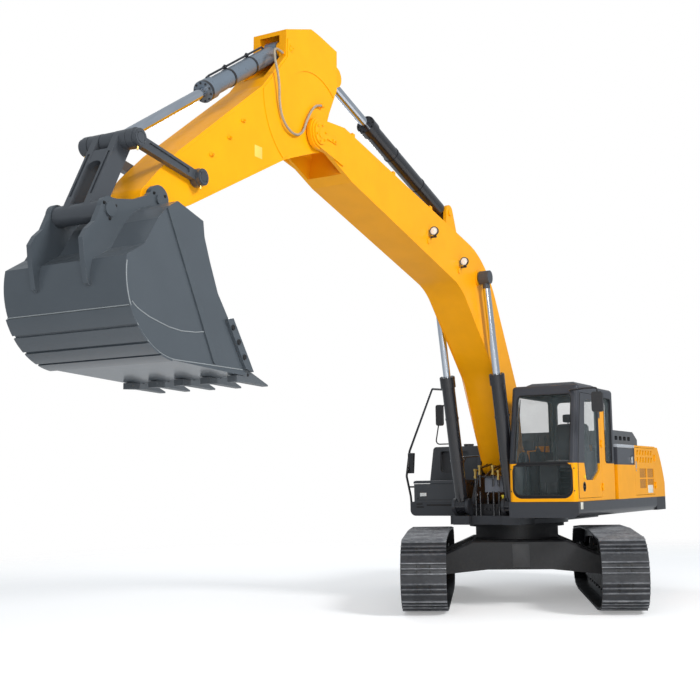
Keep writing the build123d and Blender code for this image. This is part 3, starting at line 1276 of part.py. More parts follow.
def bucket_shell():
    """Rolled plate from the upper edge round the heel to the lip."""
    outer = heel_arc(HEEL_RADIUS, HEEL_TOP, -90)
    inner = heel_arc(HEEL_RADIUS - SHELL_WALL, -90, HEEL_TOP)
    lip = Polyline(outer @ 1, LIP, (LIP[0] + 20, LIP[1] + LIP_THICK),
                   (HEEL_CENTRE[0] - 540, (inner @ 0).Y + 16), inner @ 0)
    plate = BACK_EDGE[:-1]
    inside = [(x - 17, z - 21) for x, z in plate]
    back = Polyline(inner @ 1, *inside, *reversed(plate), outer @ 0)
    return slab(make_face(outer + lip + inner + back), -BUCKET_HALF, BUCKET_HALF)


def wear_strips():
    """Four plates across the heel, and the edge plate under the lip."""
    wide = BUCKET_HALF + WEAR_THICK
    strips = []
    for index in range(WEAR_COUNT):
        start = -24 - index * 15.3
        outer = heel_arc(HEEL_RADIUS + WEAR_THICK, start, start - 13)
        inner = heel_arc(HEEL_RADIUS - OVERLAP, start - 13, start)
        ends = Polyline(outer @ 1, inner @ 0) + Polyline(inner @ 1, outer @ 0)
        strips.append(slab(make_face(outer + inner + ends), -wide, wide))
    return strips


def ear_face():
    """Ear with the two pin bosses, and its blade that runs down the back of the shell."""
    root = HEEL_RADIUS - SHELL_WALL / 2
    boss = EAR_BOSS - 22
    return outline([polar(ARM_TIP, EAR_BOSS, 75), (8999, 4187), (9177, 4113), (9391, 4072),
                    polar(LINK_PIN, boss, 80), polar(LINK_PIN, boss, 10),
                    (9650, 3839), (9732, 3768), (9785, 3688), (9768, 3542), (9725, 3331),
                    polar(HEEL_CENTRE, root, -8), polar(HEEL_CENTRE, root, 4),
                    polar(HEEL_CENTRE, root, HEEL_TOP - 1), (9449, 3636), (9280, 3876),
                    (9155, 3992), (9037, 3975), polar(ARM_TIP, EAR_BOSS, -75)])


def bucket():
    """Bucket shell with side walls, ears, side ribs and wear strips."""
    side = slab(side_face(), BUCKET_HALF - SIDE_WALL, BUCKET_HALF)
    rib = slab(strap(BACK_EDGE[-2], 26, (8536, 2796), 26) & side_face(), BUCKET_HALF - OVERLAP,
               BUCKET_HALF + WEAR_THICK)
    bosses = disc(ARM_TIP, EAR_BOSS) + disc(LINK_PIN, EAR_BOSS - 20)
    ear = slab(ear_face() + bosses, EAR_INNER, EAR_OUTER)
    pin_end = rod(LINK_PIN, 62, EAR_INNER, EAR_OUTER + 18)
    pin = rod(ARM_TIP, BUCKET_PIN, -EAR_OUTER - 18, EAR_OUTER + 18)
    upper, top = BACK_EDGE[-2], BACK_EDGE[-1]
    top_plate = slab(outline([upper, top, (top[0] - 18, top[1] - 22), (upper[0] - 10, upper[1] - 40)]),
                     EAR_OUTER - OVERLAP, BUCKET_HALF)
    return bucket_shell() + both_sides(side + rib + ear + pin_end + top_plate) + wear_strips() + pin


def bucket_teeth():
    """Row of tooth adapters and points on the lip."""
    tip, root = LIP[0] - TOOTH_LENGTH, LIP[0] + 120
    face = outline([(root, LIP[1] - 58), (LIP[0] - 60, LIP[1] - 50),
                    (tip, LIP[1] - 66), (tip, LIP[1] - 52),
                    (LIP[0] - 40, LIP[1] + 60), (LIP[0] - SEAT, LIP[1] + 60),
                    (LIP[0] - SEAT, LIP[1] - SEAT), (root, LIP[1] - SEAT)])
    pieces = []
    half, point = TOOTH_WIDTH / 2, TOOTH_WIDTH * 0.32
    for index in range(TOOTH_COUNT):
        y = -TOOTH_SPAN + 2 * TOOTH_SPAN * index / (TOOTH_COUNT - 1)
        plan = outline([(root, y - half), (LIP[0] - 90, y - half), (tip, y - point),
                        (tip, y + point), (LIP[0] - 90, y + half), (root, y + half)])
        pieces.append(slab(face, y - half, y + half) & upright(plan, LIP[1] - 200, LIP[1] + 200))
    return Part() + pieces


def side_cutters():
    """Bolted cutters on the lower front of the side walls."""
    face = outline([(8379, 3170), (8289, 3190), (8039, 2830), (7979, 2740), (8099, 2760)])
    return both_sides(slab(face, BUCKET_HALF + SEAT, BUCKET_HALF + 28))


def build():
    turn = Rot(0, 0, UNDERCARRIAGE_YAW)
    save("car_body", turn * car_body())
    save("swing_bearing", turn * swing_bearing())
    for side, name in ((1, "left"), (-1, "right")):
        save("track_frame_" + name, turn * track_frame(side))
        save("track_" + name, turn * track(side))
        save("idler_" + name, turn * idler(side))
        save("sprocket_" + name, turn * sprocket(side))
        save("rollers_" + name, turn * rollers(side))
    save("platform_frame", platform_frame())
    save("counterweight", counterweight())
    save("machinery_housing", machinery_housing())
    save("engine_hood", engine_hood())
    save("rear_left_door", rear_left_door())
    save("pump_door", pump_door())
    save("side_panel", side_panel())
    save("engine_block", engine_block())
    save("fuel_tank", fuel_tank())
    save("hydraulic_tank", hydraulic_tank())
    save("toolbox", toolbox())
    save("toolbox_lid", toolbox_lid())
    save("handrails", handrails())
    save("mirrors", mirrors())
    save("cab_shell", cab_shell())
    save("cab_glass", cab_glass())
    save("cab_door", cab_door())
    save("door_glass", door_glass())
    save("roof_hatch", roof_hatch())
    save("operator_seat", operator_seat())
    save("console", console())
    save("boom", boom())
    save("boom_pipes", boom_pipes())
    save("boom_lamps", boom_lamps())
    for side, name in ((1, "left"), (-1, "right")):
        save("lift_barrel_" + name, barrel(LIFT_FOOT, LIFT_EYE, side * LIFT_Y, LIFT_BARREL,
                                           LIFT_BORE, LIFT_ROD, LIFT_BARREL_LENGTH, FOOT_PIN))
        save("lift_rod_" + name, piston_rod(LIFT_FOOT, LIFT_EYE, side * LIFT_Y, LIFT_ROD, 92,
                                            reach(LIFT_FOOT, LIFT_EYE) - 1250))
    save("arm_cylinder_barrel", barrel(CROWD_FOOT, ARM_EYE, 0, CROWD_BARREL, CROWD_BORE,
                                       CROWD_ROD, CROWD_BARREL_LENGTH, LINKAGE_PIN))
    save("arm_cylinder_rod", piston_rod(CROWD_FOOT, ARM_EYE, 0, CROWD_ROD, 95, 2520))
    save("arm", arm())
    save("arm_hose", arm_hose())
    save("bucket_cylinder_barrel", barrel(CURL_FOOT, ROD_PIN, 0, CURL_BARREL, CURL_BORE,
                                          CURL_ROD, CURL_BARREL_LENGTH, LINKAGE_PIN))
    save("bucket_cylinder_rod", piston_rod(CURL_FOOT, ROD_PIN, 0, CURL_ROD, 86, 1857))
    save("side_levers", side_levers())
    save("bucket_link", bucket_link())
    save("bucket", bucket())
    save("bucket_teeth", bucket_teeth())
    save("side_cutters", side_cutters())


build()
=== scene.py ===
import math

import bmesh
import bpy
from mathutils import Matrix, Vector


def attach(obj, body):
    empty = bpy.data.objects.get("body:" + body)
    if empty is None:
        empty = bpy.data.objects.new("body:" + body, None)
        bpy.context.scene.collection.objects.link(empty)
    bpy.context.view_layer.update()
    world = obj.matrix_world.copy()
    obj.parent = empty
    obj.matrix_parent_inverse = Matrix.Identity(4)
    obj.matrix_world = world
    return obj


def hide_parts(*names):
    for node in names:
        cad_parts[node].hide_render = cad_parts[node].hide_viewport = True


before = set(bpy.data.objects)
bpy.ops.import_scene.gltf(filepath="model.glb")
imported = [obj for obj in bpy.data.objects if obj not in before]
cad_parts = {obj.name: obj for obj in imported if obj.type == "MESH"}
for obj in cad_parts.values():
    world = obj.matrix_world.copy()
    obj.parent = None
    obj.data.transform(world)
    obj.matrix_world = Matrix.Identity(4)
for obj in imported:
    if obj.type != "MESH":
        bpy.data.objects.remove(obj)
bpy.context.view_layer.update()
scene = bpy.context.scene
scene.view_settings.view_transform = "Standard"

# The viewpoint: a person standing in front of the left track, looking slightly up at the raised
# boom. The place and the lens come from the outline of the machine in the picture.
EYE = Vector((16.46, 6.43, 1.743))
HEADING = math.radians(209.35)
LOOK_UP = math.radians(6.602)
ROLL = math.radians(-0.872)
SENSOR = 36.0
LENS = 59.25


def into_scene(name, data):
    made = bpy.data.objects.new(name, data)
    scene.collection.objects.link(made)
    return made


camera_data = bpy.data.cameras.new("camera")
camera_data.sensor_width = SENSOR
camera_data.lens = LENS
camera_data.clip_end = 200
camera = into_scene("camera", camera_data)
scene.camera = camera
ahead = Vector((math.cos(LOOK_UP) * math.cos(HEADING), math.cos(LOOK_UP) * math.sin(HEADING),
                math.sin(LOOK_UP)))
level_right = Vector((math.sin(HEADING), -math.cos(HEADING), 0))
level_up = level_right.cross(ahead)
right = math.cos(ROLL) * level_right + math.sin(ROLL) * level_up
up = math.cos(ROLL) * level_up - math.sin(ROLL) * level_right
turn = Matrix((right, up, -ahead)).transposed()
camera.matrix_world = Matrix.Translation(EYE) @ turn.to_4x4()


# The hose on the arm: a rubber pressure hose in a pale braided sheath, crimped at both ends. It
# leaves the union on the horn, hangs in a loop down the left side and ends at the lower union.
class Sum:
    """A socket that takes part in a sum: the operators add the Math nodes."""

    def __init__(self, tree, socket):
        self.tree = tree
        self.socket = socket

    def node(self, kind, settings=None, **inputs):
        """A node of any kind: its settings first, then its sockets, by name or as i and a number."""
        made = self.tree.nodes.new(kind)
        for name, value in (settings or {}).items():
            setattr(made, name, value)
        for name, value in inputs.items():
            key = int(name[1:]) if name[0] == "i" and name[1:].isdigit() else name.replace("_", " ")
            if isinstance(value, Sum):
                self.tree.links.new(value.socket, made.inputs[key])
            else:
                made.inputs[key].default_value = value
        return made

    def out(self, made, name=0):
        return Sum(self.tree, made.outputs[name])

    def maths(self, operation, a, b=None):
        values = {"i0": a} if b is None else {"i0": a, "i1": b}
        return self.out(self.node("ShaderNodeMath", {"operation": operation}, **values))

    def __add__(self, other):
        return self.maths("ADD", self, other)

    __radd__ = __add__

    def __mul__(self, other):
        return self.maths("MULTIPLY", self, other)

    __rmul__ = __mul__

    def __sub__(self, other):
        return self.maths("SUBTRACT", self, other)

    def __rsub__(self, other):
        return self.maths("SUBTRACT", other, self)

    def __abs__(self):
        return self.maths("ABSOLUTE", self)

    def at_least(self, other):
        return self.maths("MAXIMUM", self, other)

    def at_most(self, other):
        return self.maths("MINIMUM", self, other)

    def step(self, low, high):
        """Smooth step of this value from 0 at low to 1 at high."""
        return self.out(self.node("ShaderNodeMapRange", {"interpolation_type": "SMOOTHSTEP"},
                                  Value=self, From_Min=low, From_Max=high, To_Min=0.0, To_Max=1.0))

    def past(self, limit, soft=0.002):
        """0 below the limit and 1 above it, with a soft line between."""
        return self.step(limit - soft, limit + soft)

    def mix(self, a, b):
        """Colour a where this value is 0, colour b where it is 1."""
        made = self.node("ShaderNodeMix", {"data_type": "RGBA"}, i0=self,
                         i6=a if isinstance(a, Sum) else (*a, 1),
                         i7=b if isinstance(b, Sum) else (*b, 1))
        return self.out(made, 2)


class Finish:
    """A node-based finish: its tree, its place on the machine and its shader."""

    def __init__(self, name, **fixed):
        self.material = bpy.data.materials.new(name)
        self.material.use_nodes = True
        self.tree = self.material.node_tree
        self.shader = self.tree.nodes["Principled BSDF"]
        self.root = Sum(self.tree, None)
        self.place = self.root.out(self.root.node("ShaderNodeTexCoord"), "Object")
        split = self.root.node("ShaderNodeSeparateXYZ", Vector=self.place)
        self.x, self.y, self.z = (self.root.out(split, axis) for axis in range(3))
        for socket, value in fixed.items():
            self.shader.inputs[socket.replace("_", " ")].default_value = value

    def noise(self, scale, detail=3.0, roughness=0.55, stretch=None):
        place = self.place
        if stretch:
            place = self.root.out(self.root.node("ShaderNodeMapping", Vector=place, Scale=stretch))
        return self.root.out(self.root.node("ShaderNodeTexNoise", Vector=place, Scale=scale,
                                            Detail=detail, Roughness=roughness))

    def facing_up(self):
        """1 where the surface faces the sky."""
        normal = self.root.out(self.root.node("ShaderNodeNewGeometry"), "Normal")
        return self.root.out(self.root.node("ShaderNodeSeparateXYZ", Vector=normal), 2)

    def edges(self, width):
        """Above 0 on the outer edges of plates, 0 on their faces."""
        true_normal = self.root.out(self.root.node("ShaderNodeNewGeometry"), "Normal")
        bevel = self.root.out(self.root.node("ShaderNodeBevel", {"samples": 4}, Radius=width))
        dot = self.root.node("ShaderNodeVectorMath", {"operation": "DOT_PRODUCT"}, i0=true_normal,
                             i1=bevel)
        return 1 - self.root.out(dot, "Value")

    def set(self, **values):
        for name, value in values.items():
            self.tree.links.new(value.socket, self.shader.inputs[name.replace("_", " ")])

    def bump(self, height, strength, distance):
        made = self.root.node("ShaderNodeBump", Height=height, Strength=strength,
                              Distance=distance)
        self.tree.links.new(made.outputs["Normal"], self.shader.inputs["Normal"])


HOSE_ROUTE = ((6.668, 0.172, 6.222), (6.785, 0.176, 6.236), (6.885, 0.206, 6.180),
              (6.925, 0.240, 6.065), (6.905, 0.262, 5.925), (6.868, 0.256, 5.790),
              (6.850, 0.242, 5.640), (6.800, 0.238, 5.485), (6.680, 0.238, 5.385),
              (6.525, 0.238, 5.358), (6.385, 0.238, 5.430), (6.312, 0.238, 5.575),
              (6.210, 0.238, 5.720), (6.110, 0.238, 5.808), (6.005, 0.238, 5.830))
HOSE_RADIUS = 0.013

sheath = Finish("braided_sheath", Specular_IOR_Level=0.25)
strands = sheath.noise(260.0, 2.0)
soiled = sheath.noise(9.0, 4.0)
pale = strands.step(0.35, 0.65) * 0.7 + soiled * 0.3
sheath.set(Base_Color=pale.mix((0.20, 0.155, 0.10), (0.50, 0.42, 0.31)), Roughness=0.62 + strands * 0.2)
sheath.bump(strands, 0.5, 0.002)


def hang(name, data, body, finish):
    """Puts a mesh or a curve in the scene, in its finish and on its body."""
    data.materials.append(finish)
    made = into_scene(name, data)
    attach(made, body)
    return made


def bead(name, points, body, finish, radius, closed=False, curved=False):
    """A round profile along points: straight from one to the next, or curved and capped as a hose."""
    line = bpy.data.curves.new(name, "CURVE")
    line.dimensions = "3D"
    line.bevel_depth = radius
    line.bevel_resolution = 5 if curved else 2
    line.use_fill_caps = curved
    run = line.splines.new("NURBS" if curved else "POLY")
    run.points.add(len(points) - 1)
    for point, place in zip(run.points, points):
        point.co = (*place, 1)
    if curved:
        run.order_u = 3
        run.use_endpoint_u = True
    run.use_cyclic_u = closed
    run.use_smooth = True
    return hang(name, line, body, finish)


hose = bead("arm_pressure_hose", HOSE_ROUTE, "arm", sheath.material, HOSE_RADIUS,
            curved=True)
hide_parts("arm_hose")

# The studio: a white floor that keeps a soft shadow and fades out, a white surround and large soft
# lamps. The surround is white only for the camera and through glass, so the light stays plain.
FLOOR_HALF = 90.0
FLOOR_Z = -0.002
FADE_START, FADE_END = 7.5, 19.0
FLOOR_GLOW = (0.30, 0.30, 0.30)
SKY = (0.86, 0.93, 1, 1)
SKY_STRENGTH = 0.46
LAMPS = (
    # name, place, what it is turned to, diameter, power
    ("key_lamp", (7, 17, 14), (3, 0, 2.5), 5, 2900),
    ("front_lamp", (22, 4, 9), (4, 0, 2.5), 8, 900),
    ("low_lamp", (17, 10, 2.4), (2, 0.4, 2.4), 6, 560),
    ("back_lamp", (-12, -14, 12), (0, 0, 2), 8, 900),
)

white_floor = Finish("white_floor", Roughness=0.9, Specular_IOR_Level=0.1, Emission_Strength=1.0)
floor_rays = white_floor.root.node("ShaderNodeLightPath")
seen_floor = white_floor.root.out(floor_rays, "Is Camera Ray")
white_floor.set(Emission_Color=seen_floor.mix((0, 0, 0), FLOOR_GLOW))
white_floor.set(Base_Color=white_floor.noise(0.7).mix((0.84, 0.84, 0.84), (0.86, 0.86, 0.86)))
from_axis = white_floor.root.node("ShaderNodeVectorMath", {"operation": "LENGTH"}, i0=white_floor.place)
fade = white_floor.root.out(from_axis, "Value").step(FADE_START, FADE_END)
clear = white_floor.root.node("ShaderNodeBsdfTransparent")
faded = white_floor.root.node("ShaderNodeMixShader", i0=fade, i1=white_floor.root.out(white_floor.shader),
                              i2=white_floor.root.out(clear))
white_floor.tree.links.new(faded.outputs[0],
                           white_floor.tree.nodes["Material Output"].inputs["Surface"])

drawn_floor = bmesh.new()
bmesh.ops.create_grid(drawn_floor, x_segments=1, y_segments=1, size=FLOOR_HALF)
bmesh.ops.translate(drawn_floor, verts=drawn_floor.verts, vec=(0, 0, FLOOR_Z))
floor_mesh = bpy.data.meshes.new("floor")
drawn_floor.to_mesh(floor_mesh)
drawn_floor.free()
floor_mesh.materials.append(white_floor.material)
into_scene("floor", floor_mesh)

world = bpy.data.worlds.new("surround")
scene.world = world
world.use_nodes = True
surround = Sum(world.node_tree, None)
sky = world.node_tree.nodes["Background"]
sky.inputs["Color"].default_value = SKY
sky.inputs["Strength"].default_value = SKY_STRENGTH
white = surround.node("ShaderNodeBackground", Color=(1, 1, 1, 1), Strength=1.0)
rays = surround.node("ShaderNodeLightPath")
seen = surround.out(rays, "Is Camera Ray").at_least(surround.out(rays, "Is Transmission Ray"))
chosen = surround.node("ShaderNodeMixShader", i0=seen, i1=surround.out(sky), i2=surround.out(white))
world.node_tree.links.new(chosen.outputs[0], world.node_tree.nodes["World Output"].inputs["Surface"])

for name, place, aim, size, power in LAMPS:
    data = bpy.data.lights.new(name, "AREA")
    data.shape = "DISK"
    data.size = size
    data.energy = power
    lamp = into_scene(name, data)
    lamp.location = place
    lamp.rotation_mode = "QUATERNION"
    lamp.rotation_quaternion = (Vector(aim) - Vector(place)).to_track_quat("-Z", "Y")

# The car body: a welded centre box with front and rear cross beams and the pedestal of the swing
# bearing, of thick steel plate in black enamel. A bolted plate covers the hole in the front beam.
UNDERCARRIAGE_YAW = math.radians(23)
BEAM_FACE = 1.0
COVER_Y = (-0.10, 0.14)
COVER_Z = (0.53, 0.86)
COVER_THICKNESS = 0.006
COVER_RIM = 0.025
BLACK = (0.010, 0.010, 0.012)
DUST = (0.12, 0.115, 0.105)
BARE_STEEL = (0.16, 0.145, 0.13)


def enamel(name, colour, gloss, coat=0.25, wear=None, dust=DUST, dirt_top=1.2, over=None,
           film_most=1.0, shine=0.45):
    """Sprayed enamel: mottled, dusty where it faces up and low down, rubbed on the edges."""
    paint = Finish(name, Specular_IOR_Level=shine, Coat_Roughness=0.12, Coat_Weight=coat)
    mottle = paint.noise(3.0, 4.0)
    grime = paint.noise(11.0, 5.0, 0.65)
    low = 1 - paint.z.step(0.2, dirt_top)
    film = (paint.facing_up().step(0.55, 0.95) * 0.22 + low * 0.3) * grime.step(0.35, 0.75) * film_most
    shade = (mottle.step(0.3, 0.7) * 0.4).mix(colour, tuple(0.86 * c for c in colour))
    if over:
        shade = over(paint, shade)
    dusty = film.mix(shade, dust)
    if wear:
        rubbed = paint.edges(0.006).step(0.05, 0.35) * grime.step(0.5, 0.62) * 0.55
        dusty = rubbed.mix(dusty, wear)
    paint.set(Base_Color=dusty, Roughness=gloss + film * 0.9 + (grime - 0.5) * 0.06)
    paint.bump(paint.noise(140.0, 2.0), 0.04, 0.002)
    return paint.material


def finish_nodes(material, *names):
    """Gives CAD nodes a finish."""
    for name in names:
        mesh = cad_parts[name].data
        mesh.materials.clear()
        mesh.materials.append(material)


def add_piece(name, drawn, body, finish, sharp=35.0):
    """Makes a piece from what was drawn, smooth but for its sharp edges, and hangs it on a body."""
    mesh = bpy.data.meshes.new(name)
    bmesh.ops.recalc_face_normals(drawn, faces=drawn.faces)
    drawn.to_mesh(mesh)
    drawn.free()
    mesh.shade_smooth()
    mesh.set_sharp_from_angle(angle=math.radians(sharp))
    return hang(name, mesh, body, finish)


def bar(drawn, start, end, radius, tip=None, sides=20):
    """A round bar between two points, or a cone where the tip's radius differs."""
    start, end = Vector(start), Vector(end)
    lie = (end - start).to_track_quat("Z", "Y").to_matrix().to_4x4()
    bmesh.ops.create_cone(drawn, cap_ends=True, segments=sides, radius1=radius,
                          radius2=radius if tip is None else tip, depth=(end - start).length,
                          matrix=Matrix.Translation((start + end) / 2) @ lie)


def plate(drawn, low, high, ease=0.0, steps=2):
    """A plate or block between two corners, its edges eased."""
    low, high = Vector(low), Vector(high)
    made = bmesh.ops.create_cube(
        drawn, size=1, matrix=Matrix.Translation((low + high) / 2) @ Matrix.Diagonal((*(high - low), 1)))
    if ease:
        edges = list({edge for vertex in made["verts"] for edge in vertex.link_edges})
        bmesh.ops.bevel(drawn, geom=edges, offset=ease, segments=steps, profile=0.5,
                        affect="EDGES", material=-1)


def bolt(drawn, foot, toward, radius, height):
    """A hexagon head on its washer, standing on foot and pointing toward."""
    foot, way = Vector(foot), Vector(toward).normalized()
    bar(drawn, foot - way * 0.002, foot + way * height * 0.25, radius * 1.3, sides=12)
    bar(drawn, foot, foot + way * height, radius, radius * 0.92, sides=6)


def bolt_circle(drawn, centre, axis, ring, count, radius, height):
    """Bolts on a pitch circle about an axis."""
    way = Vector(axis).normalized()
    side = way.orthogonal().normalized()
    for number in range(count):
        spoke = Matrix.Rotation(2 * math.pi * number / count, 3, way) @ side
        bolt(drawn, Vector(centre) + spoke * ring, way, radius, height)


def on_undercarriage(drawn):
    """Turns what was drawn straight to the undercarriage's own heading."""
    bmesh.ops.rotate(drawn, verts=drawn.verts, cent=(0, 0, 0),
                     matrix=Matrix.Rotation(UNDERCARRIAGE_YAW, 3, "Z"))
    return drawn


frame_black = enamel("frame_black", BLACK, 0.5, 0.0, wear=BARE_STEEL)
finish_nodes(frame_black, "car_body", "track_frame_left", "track_frame_right", "swing_bearing",
             "engine_block")
cover = bmesh.new()
cover_skin = BEAM_FACE + COVER_THICKNESS
plate(cover, (BEAM_FACE, COVER_Y[0], COVER_Z[0]), (cover_skin, COVER_Y[1], COVER_Z[1]), 0.002)
for y in (COVER_Y[0] + COVER_RIM, COVER_Y[1] - COVER_RIM):
    for z in (COVER_Z[0] + COVER_RIM, sum(COVER_Z) / 2, COVER_Z[1] - COVER_RIM):
        bolt(cover, (cover_skin, y, z), (1, 0, 0), 0.009, 0.010)
grey_cover = enamel("cover_grey", (0.05, 0.05, 0.052), 0.5, 0.0, wear=BARE_STEEL)
add_piece("beam_cover_plate", on_undercarriage(cover), "undercarriage", grey_cover)

# The tracks: forged links and rolled steel shoes with three grousers each, every shoe held by four
# bolts. The grouser tips are bare and scuffed where they meet the ground; the near-black steel between
# them is painted shade in the recesses.
SHOES = 48
SHOE_FACE = 0.080
GROUSER_TIP = 0.105
GAUGE = 2.590
BOLT_STEP = 0.035
BOLT_ROW = 0.085
BOLT_HEAD = 0.015
# size of the near-black plate laid on each shoe as painted shade for its mud slot
MUD_SLOT_SHADOW = (0.030, 0.085, 0.004)
# the line of link pins: place of each wheel, and the line's radius round it
IDLER_X, IDLER_Z, IDLER_RADIUS = 1.978, 0.511, 0.370
CARRIER_X, CARRIER_Z, CARRIER_RADIUS = 0.640, 0.810, 0.135
ROLLER_X, ROLLER_Z, ROLLER_RADIUS = 1.550, 0.265, 0.160
PIN_CIRCLES = ((IDLER_X, IDLER_Z, IDLER_RADIUS), (CARRIER_X, CARRIER_Z, CARRIER_RADIUS),
               (-CARRIER_X, CARRIER_Z, CARRIER_RADIUS), (-IDLER_X, IDLER_Z, IDLER_RADIUS),
               (-ROLLER_X, ROLLER_Z, ROLLER_RADIUS), (ROLLER_X, ROLLER_Z, ROLLER_RADIUS))
CARRIER_RISE = CARRIER_Z + CARRIER_RADIUS - IDLER_Z - IDLER_RADIUS
ROLLER_DROP = IDLER_Z - IDLER_RADIUS - ROLLER_Z + ROLLER_RADIUS


def apart(a, b):
    """Length of the slope of two values."""
    return a.maths("SQRT", a * a + b * b)


shoe_steel_with_recess_shade = Finish("shoe_steel_with_recess_shade", Specular_IOR_Level=0.5)
forward = abs(shoe_steel_with_recess_shade.x * math.cos(UNDERCARRIAGE_YAW) + shoe_steel_with_recess_shade.y * math.sin(UNDERCARRIAGE_YAW))
rise = shoe_steel_with_recess_shade.z - IDLER_Z
above = rise.step(-0.01, 0.01)
inward = IDLER_X - forward
top_run = (inward * (CARRIER_RISE / (IDLER_X - CARRIER_X))).at_least(0.0).at_most(CARRIER_RISE)
low_run = (inward * (ROLLER_DROP / (IDLER_X - ROLLER_X))).at_least(0.0).at_most(ROLLER_DROP)
reach = apart((forward - IDLER_X).at_least(0.0), rise)
outward = reach - IDLER_RADIUS - top_run * above - low_run * (1 - above)
# tip is 1 on the worn grouser tips and 0 between the grousers, where the colour is painted shade
tip = outward.step(SHOE_FACE + 0.004, GROUSER_TIP - 0.004)
scuffs = shoe_steel_with_recess_shade.noise(16.0, 5.0, 0.7, stretch=(1.0, 1.0, 2.4))
patches = shoe_steel_with_recess_shade.noise(3.2, 3.0)
bright = scuffs.step(0.42, 0.72) * 0.55 + patches.step(0.4, 0.7) * 0.45
# near-black steel between the grousers: painted shade in the recesses
recess_shade_steel = bright.mix((0.014, 0.015, 0.018), (0.040, 0.042, 0.048))
worn_steel = bright.mix((0.095, 0.100, 0.110), (0.27, 0.275, 0.285))
shoe_steel_with_recess_shade.set(Base_Color=tip.mix(recess_shade_steel, worn_steel), Metallic=tip * 0.35,
               Roughness=0.46 - bright * 0.12)
shoe_steel_with_recess_shade.bump(shoe_steel_with_recess_shade.noise(70.0, 4.0, 0.7), 0.25, 0.003)
finish_nodes(shoe_steel_with_recess_shade.material, "track_left", "track_right")

wheel_steel = enamel("wheel_black", (0.016, 0.016, 0.018), 0.55, 0.0, wear=(0.24, 0.23, 0.22))
finish_nodes(wheel_steel, "idler_left", "idler_right", "sprocket_left", "sprocket_right",
             "rollers_left", "rollers_right")


def pin_line(circles):
    """Arcs and straight runs of the line of link pins round the wheels, as (kind, values, length)."""
    joints = []
    for number, (x, z, radius) in enumerate(circles):
        next_x, next_z, next_radius = circles[(number + 1) % len(circles)]
        span = math.hypot(next_x - x, next_z - z)
        joints.append(math.atan2(next_z - z, next_x - x) + math.asin((radius - next_radius) / span))
    runs = []
    for number, (x, z, radius) in enumerate(circles):
        start, end = joints[number - 1], joints[number]
        sweep = (end - start) % (2 * math.pi)
        runs.append(("arc", (x, z, radius, start), radius * sweep))
        leave = Vector((x + radius * math.sin(end), z - radius * math.cos(end)))
        next_x, next_z, next_radius = circles[(number + 1) % len(circles)]
        arrive = Vector((next_x + next_radius * math.sin(end), next_z - next_radius * math.cos(end)))
        runs.append(("line", (leave.x, leave.y, 0.0, end), (arrive - leave).length))
    return runs


def shoe_places(count):
    """Centre and heading of each shoe, evenly spaced along the pin line."""
    runs = pin_line(PIN_CIRCLES)
    total = sum(length for _, _, length in runs)
    places = []
    for number in range(count):
        rest = total * number / count
        for kind, values, length in runs:
            if rest <= length:
                break
            rest -= length
        x, z, radius, angle = values
        if kind == "arc":
            angle += rest / radius
            places.append((x + radius * math.sin(angle), z - radius * math.cos(angle), angle))
        else:
            places.append((x + rest * math.cos(angle), z + rest * math.sin(angle), angle))
    return places


dark_bolts = enamel("bolt_black", (0.008, 0.008, 0.009), 0.42, 0.0, wear=(0.10, 0.095, 0.09))
across = Vector((0, 1, 0))
for side, name in ((1, "left"), (-1, "right")):
    bolt_heads_and_slot_shadows = bmesh.new()
    for x, z, angle in shoe_places(SHOES):
        outward = Vector((math.sin(angle), 0, -math.cos(angle)))
        along = Vector((math.cos(angle), 0, math.sin(angle)))
        middle = Vector((x, side * GAUGE / 2, z)) + outward * SHOE_FACE
        for step in (-BOLT_STEP, BOLT_STEP):
            for row in (-BOLT_ROW, BOLT_ROW):
                foot = middle + across * row + along * step
                bar(bolt_heads_and_slot_shadows, foot - outward * 0.002, foot + outward * BOLT_HEAD, 0.019, 0.017, sides=6)
        # a thin near-black plate over each shoe's mud slot: painted shade standing in for the hole
        lie = Matrix((along * MUD_SLOT_SHADOW[0], across * MUD_SLOT_SHADOW[1], outward * MUD_SLOT_SHADOW[2])).transposed()
        bmesh.ops.create_cube(bolt_heads_and_slot_shadows, size=1,
                              matrix=Matrix.Translation(middle + along * BOLT_STEP) @ lie.to_4x4())
    add_piece("shoe_bolts_and_slot_shadows_" + name, on_undercarriage(bolt_heads_and_slot_shadows), "undercarriage", dark_bolts)

# The swing bearing and the revolving frame: a forged ring held by a circle of bolts, and on it a
# welded plate frame with side decks, all black. Steps and slots are cut in the front of the decks;
# thin black strips laid in the slots are painted shade.
DECK_FRONT = 0.650
RING_TOP, RING_BOLTS, RING_PITCH = 1.110, 44, 0.6905
# half height of the black strips painted as shade in the deck front slots
SLOT_SHADOW_HALF = 0.012
DECK_SLOT_SHADOWS = (
    # y from, y to, z
    (-1.345, -1.245, 1.416),
    (-1.345, -1.225, 1.372),
    (-1.175, -0.700, 1.400),
)
deck_black = enamel("deck_black", (0.034, 0.036, 0.042), 0.36, 0.15, wear=BARE_STEEL)
finish_nodes(deck_black, "platform_frame")
ring_bolts = bmesh.new()
bolt_circle(ring_bolts, (0, 0, RING_TOP), (0, 0, 1), RING_PITCH, RING_BOLTS, 0.0085, 0.012)
add_piece("bearing_bolts", ring_bolts, "undercarriage", dark_bolts)


def grained(name, scale, detail, dark, light, rough, spread, **fixed):
    """A material with one grain in its colour and in its gloss."""
    made = Finish(name, **fixed)
    grain = made.noise(scale, detail)
    made.set(Base_Color=grain.mix(dark, light), Roughness=rough + grain * spread)
    return made


rubber = grained("black_rubber", 45.0, 4.0, (0.012, 0.012, 0.013), (0.035, 0.034, 0.033), 0.6, 0.25,
                 Specular_IOR_Level=0.3)
rubber.bump(rubber.noise(220.0), 0.2, 0.001)
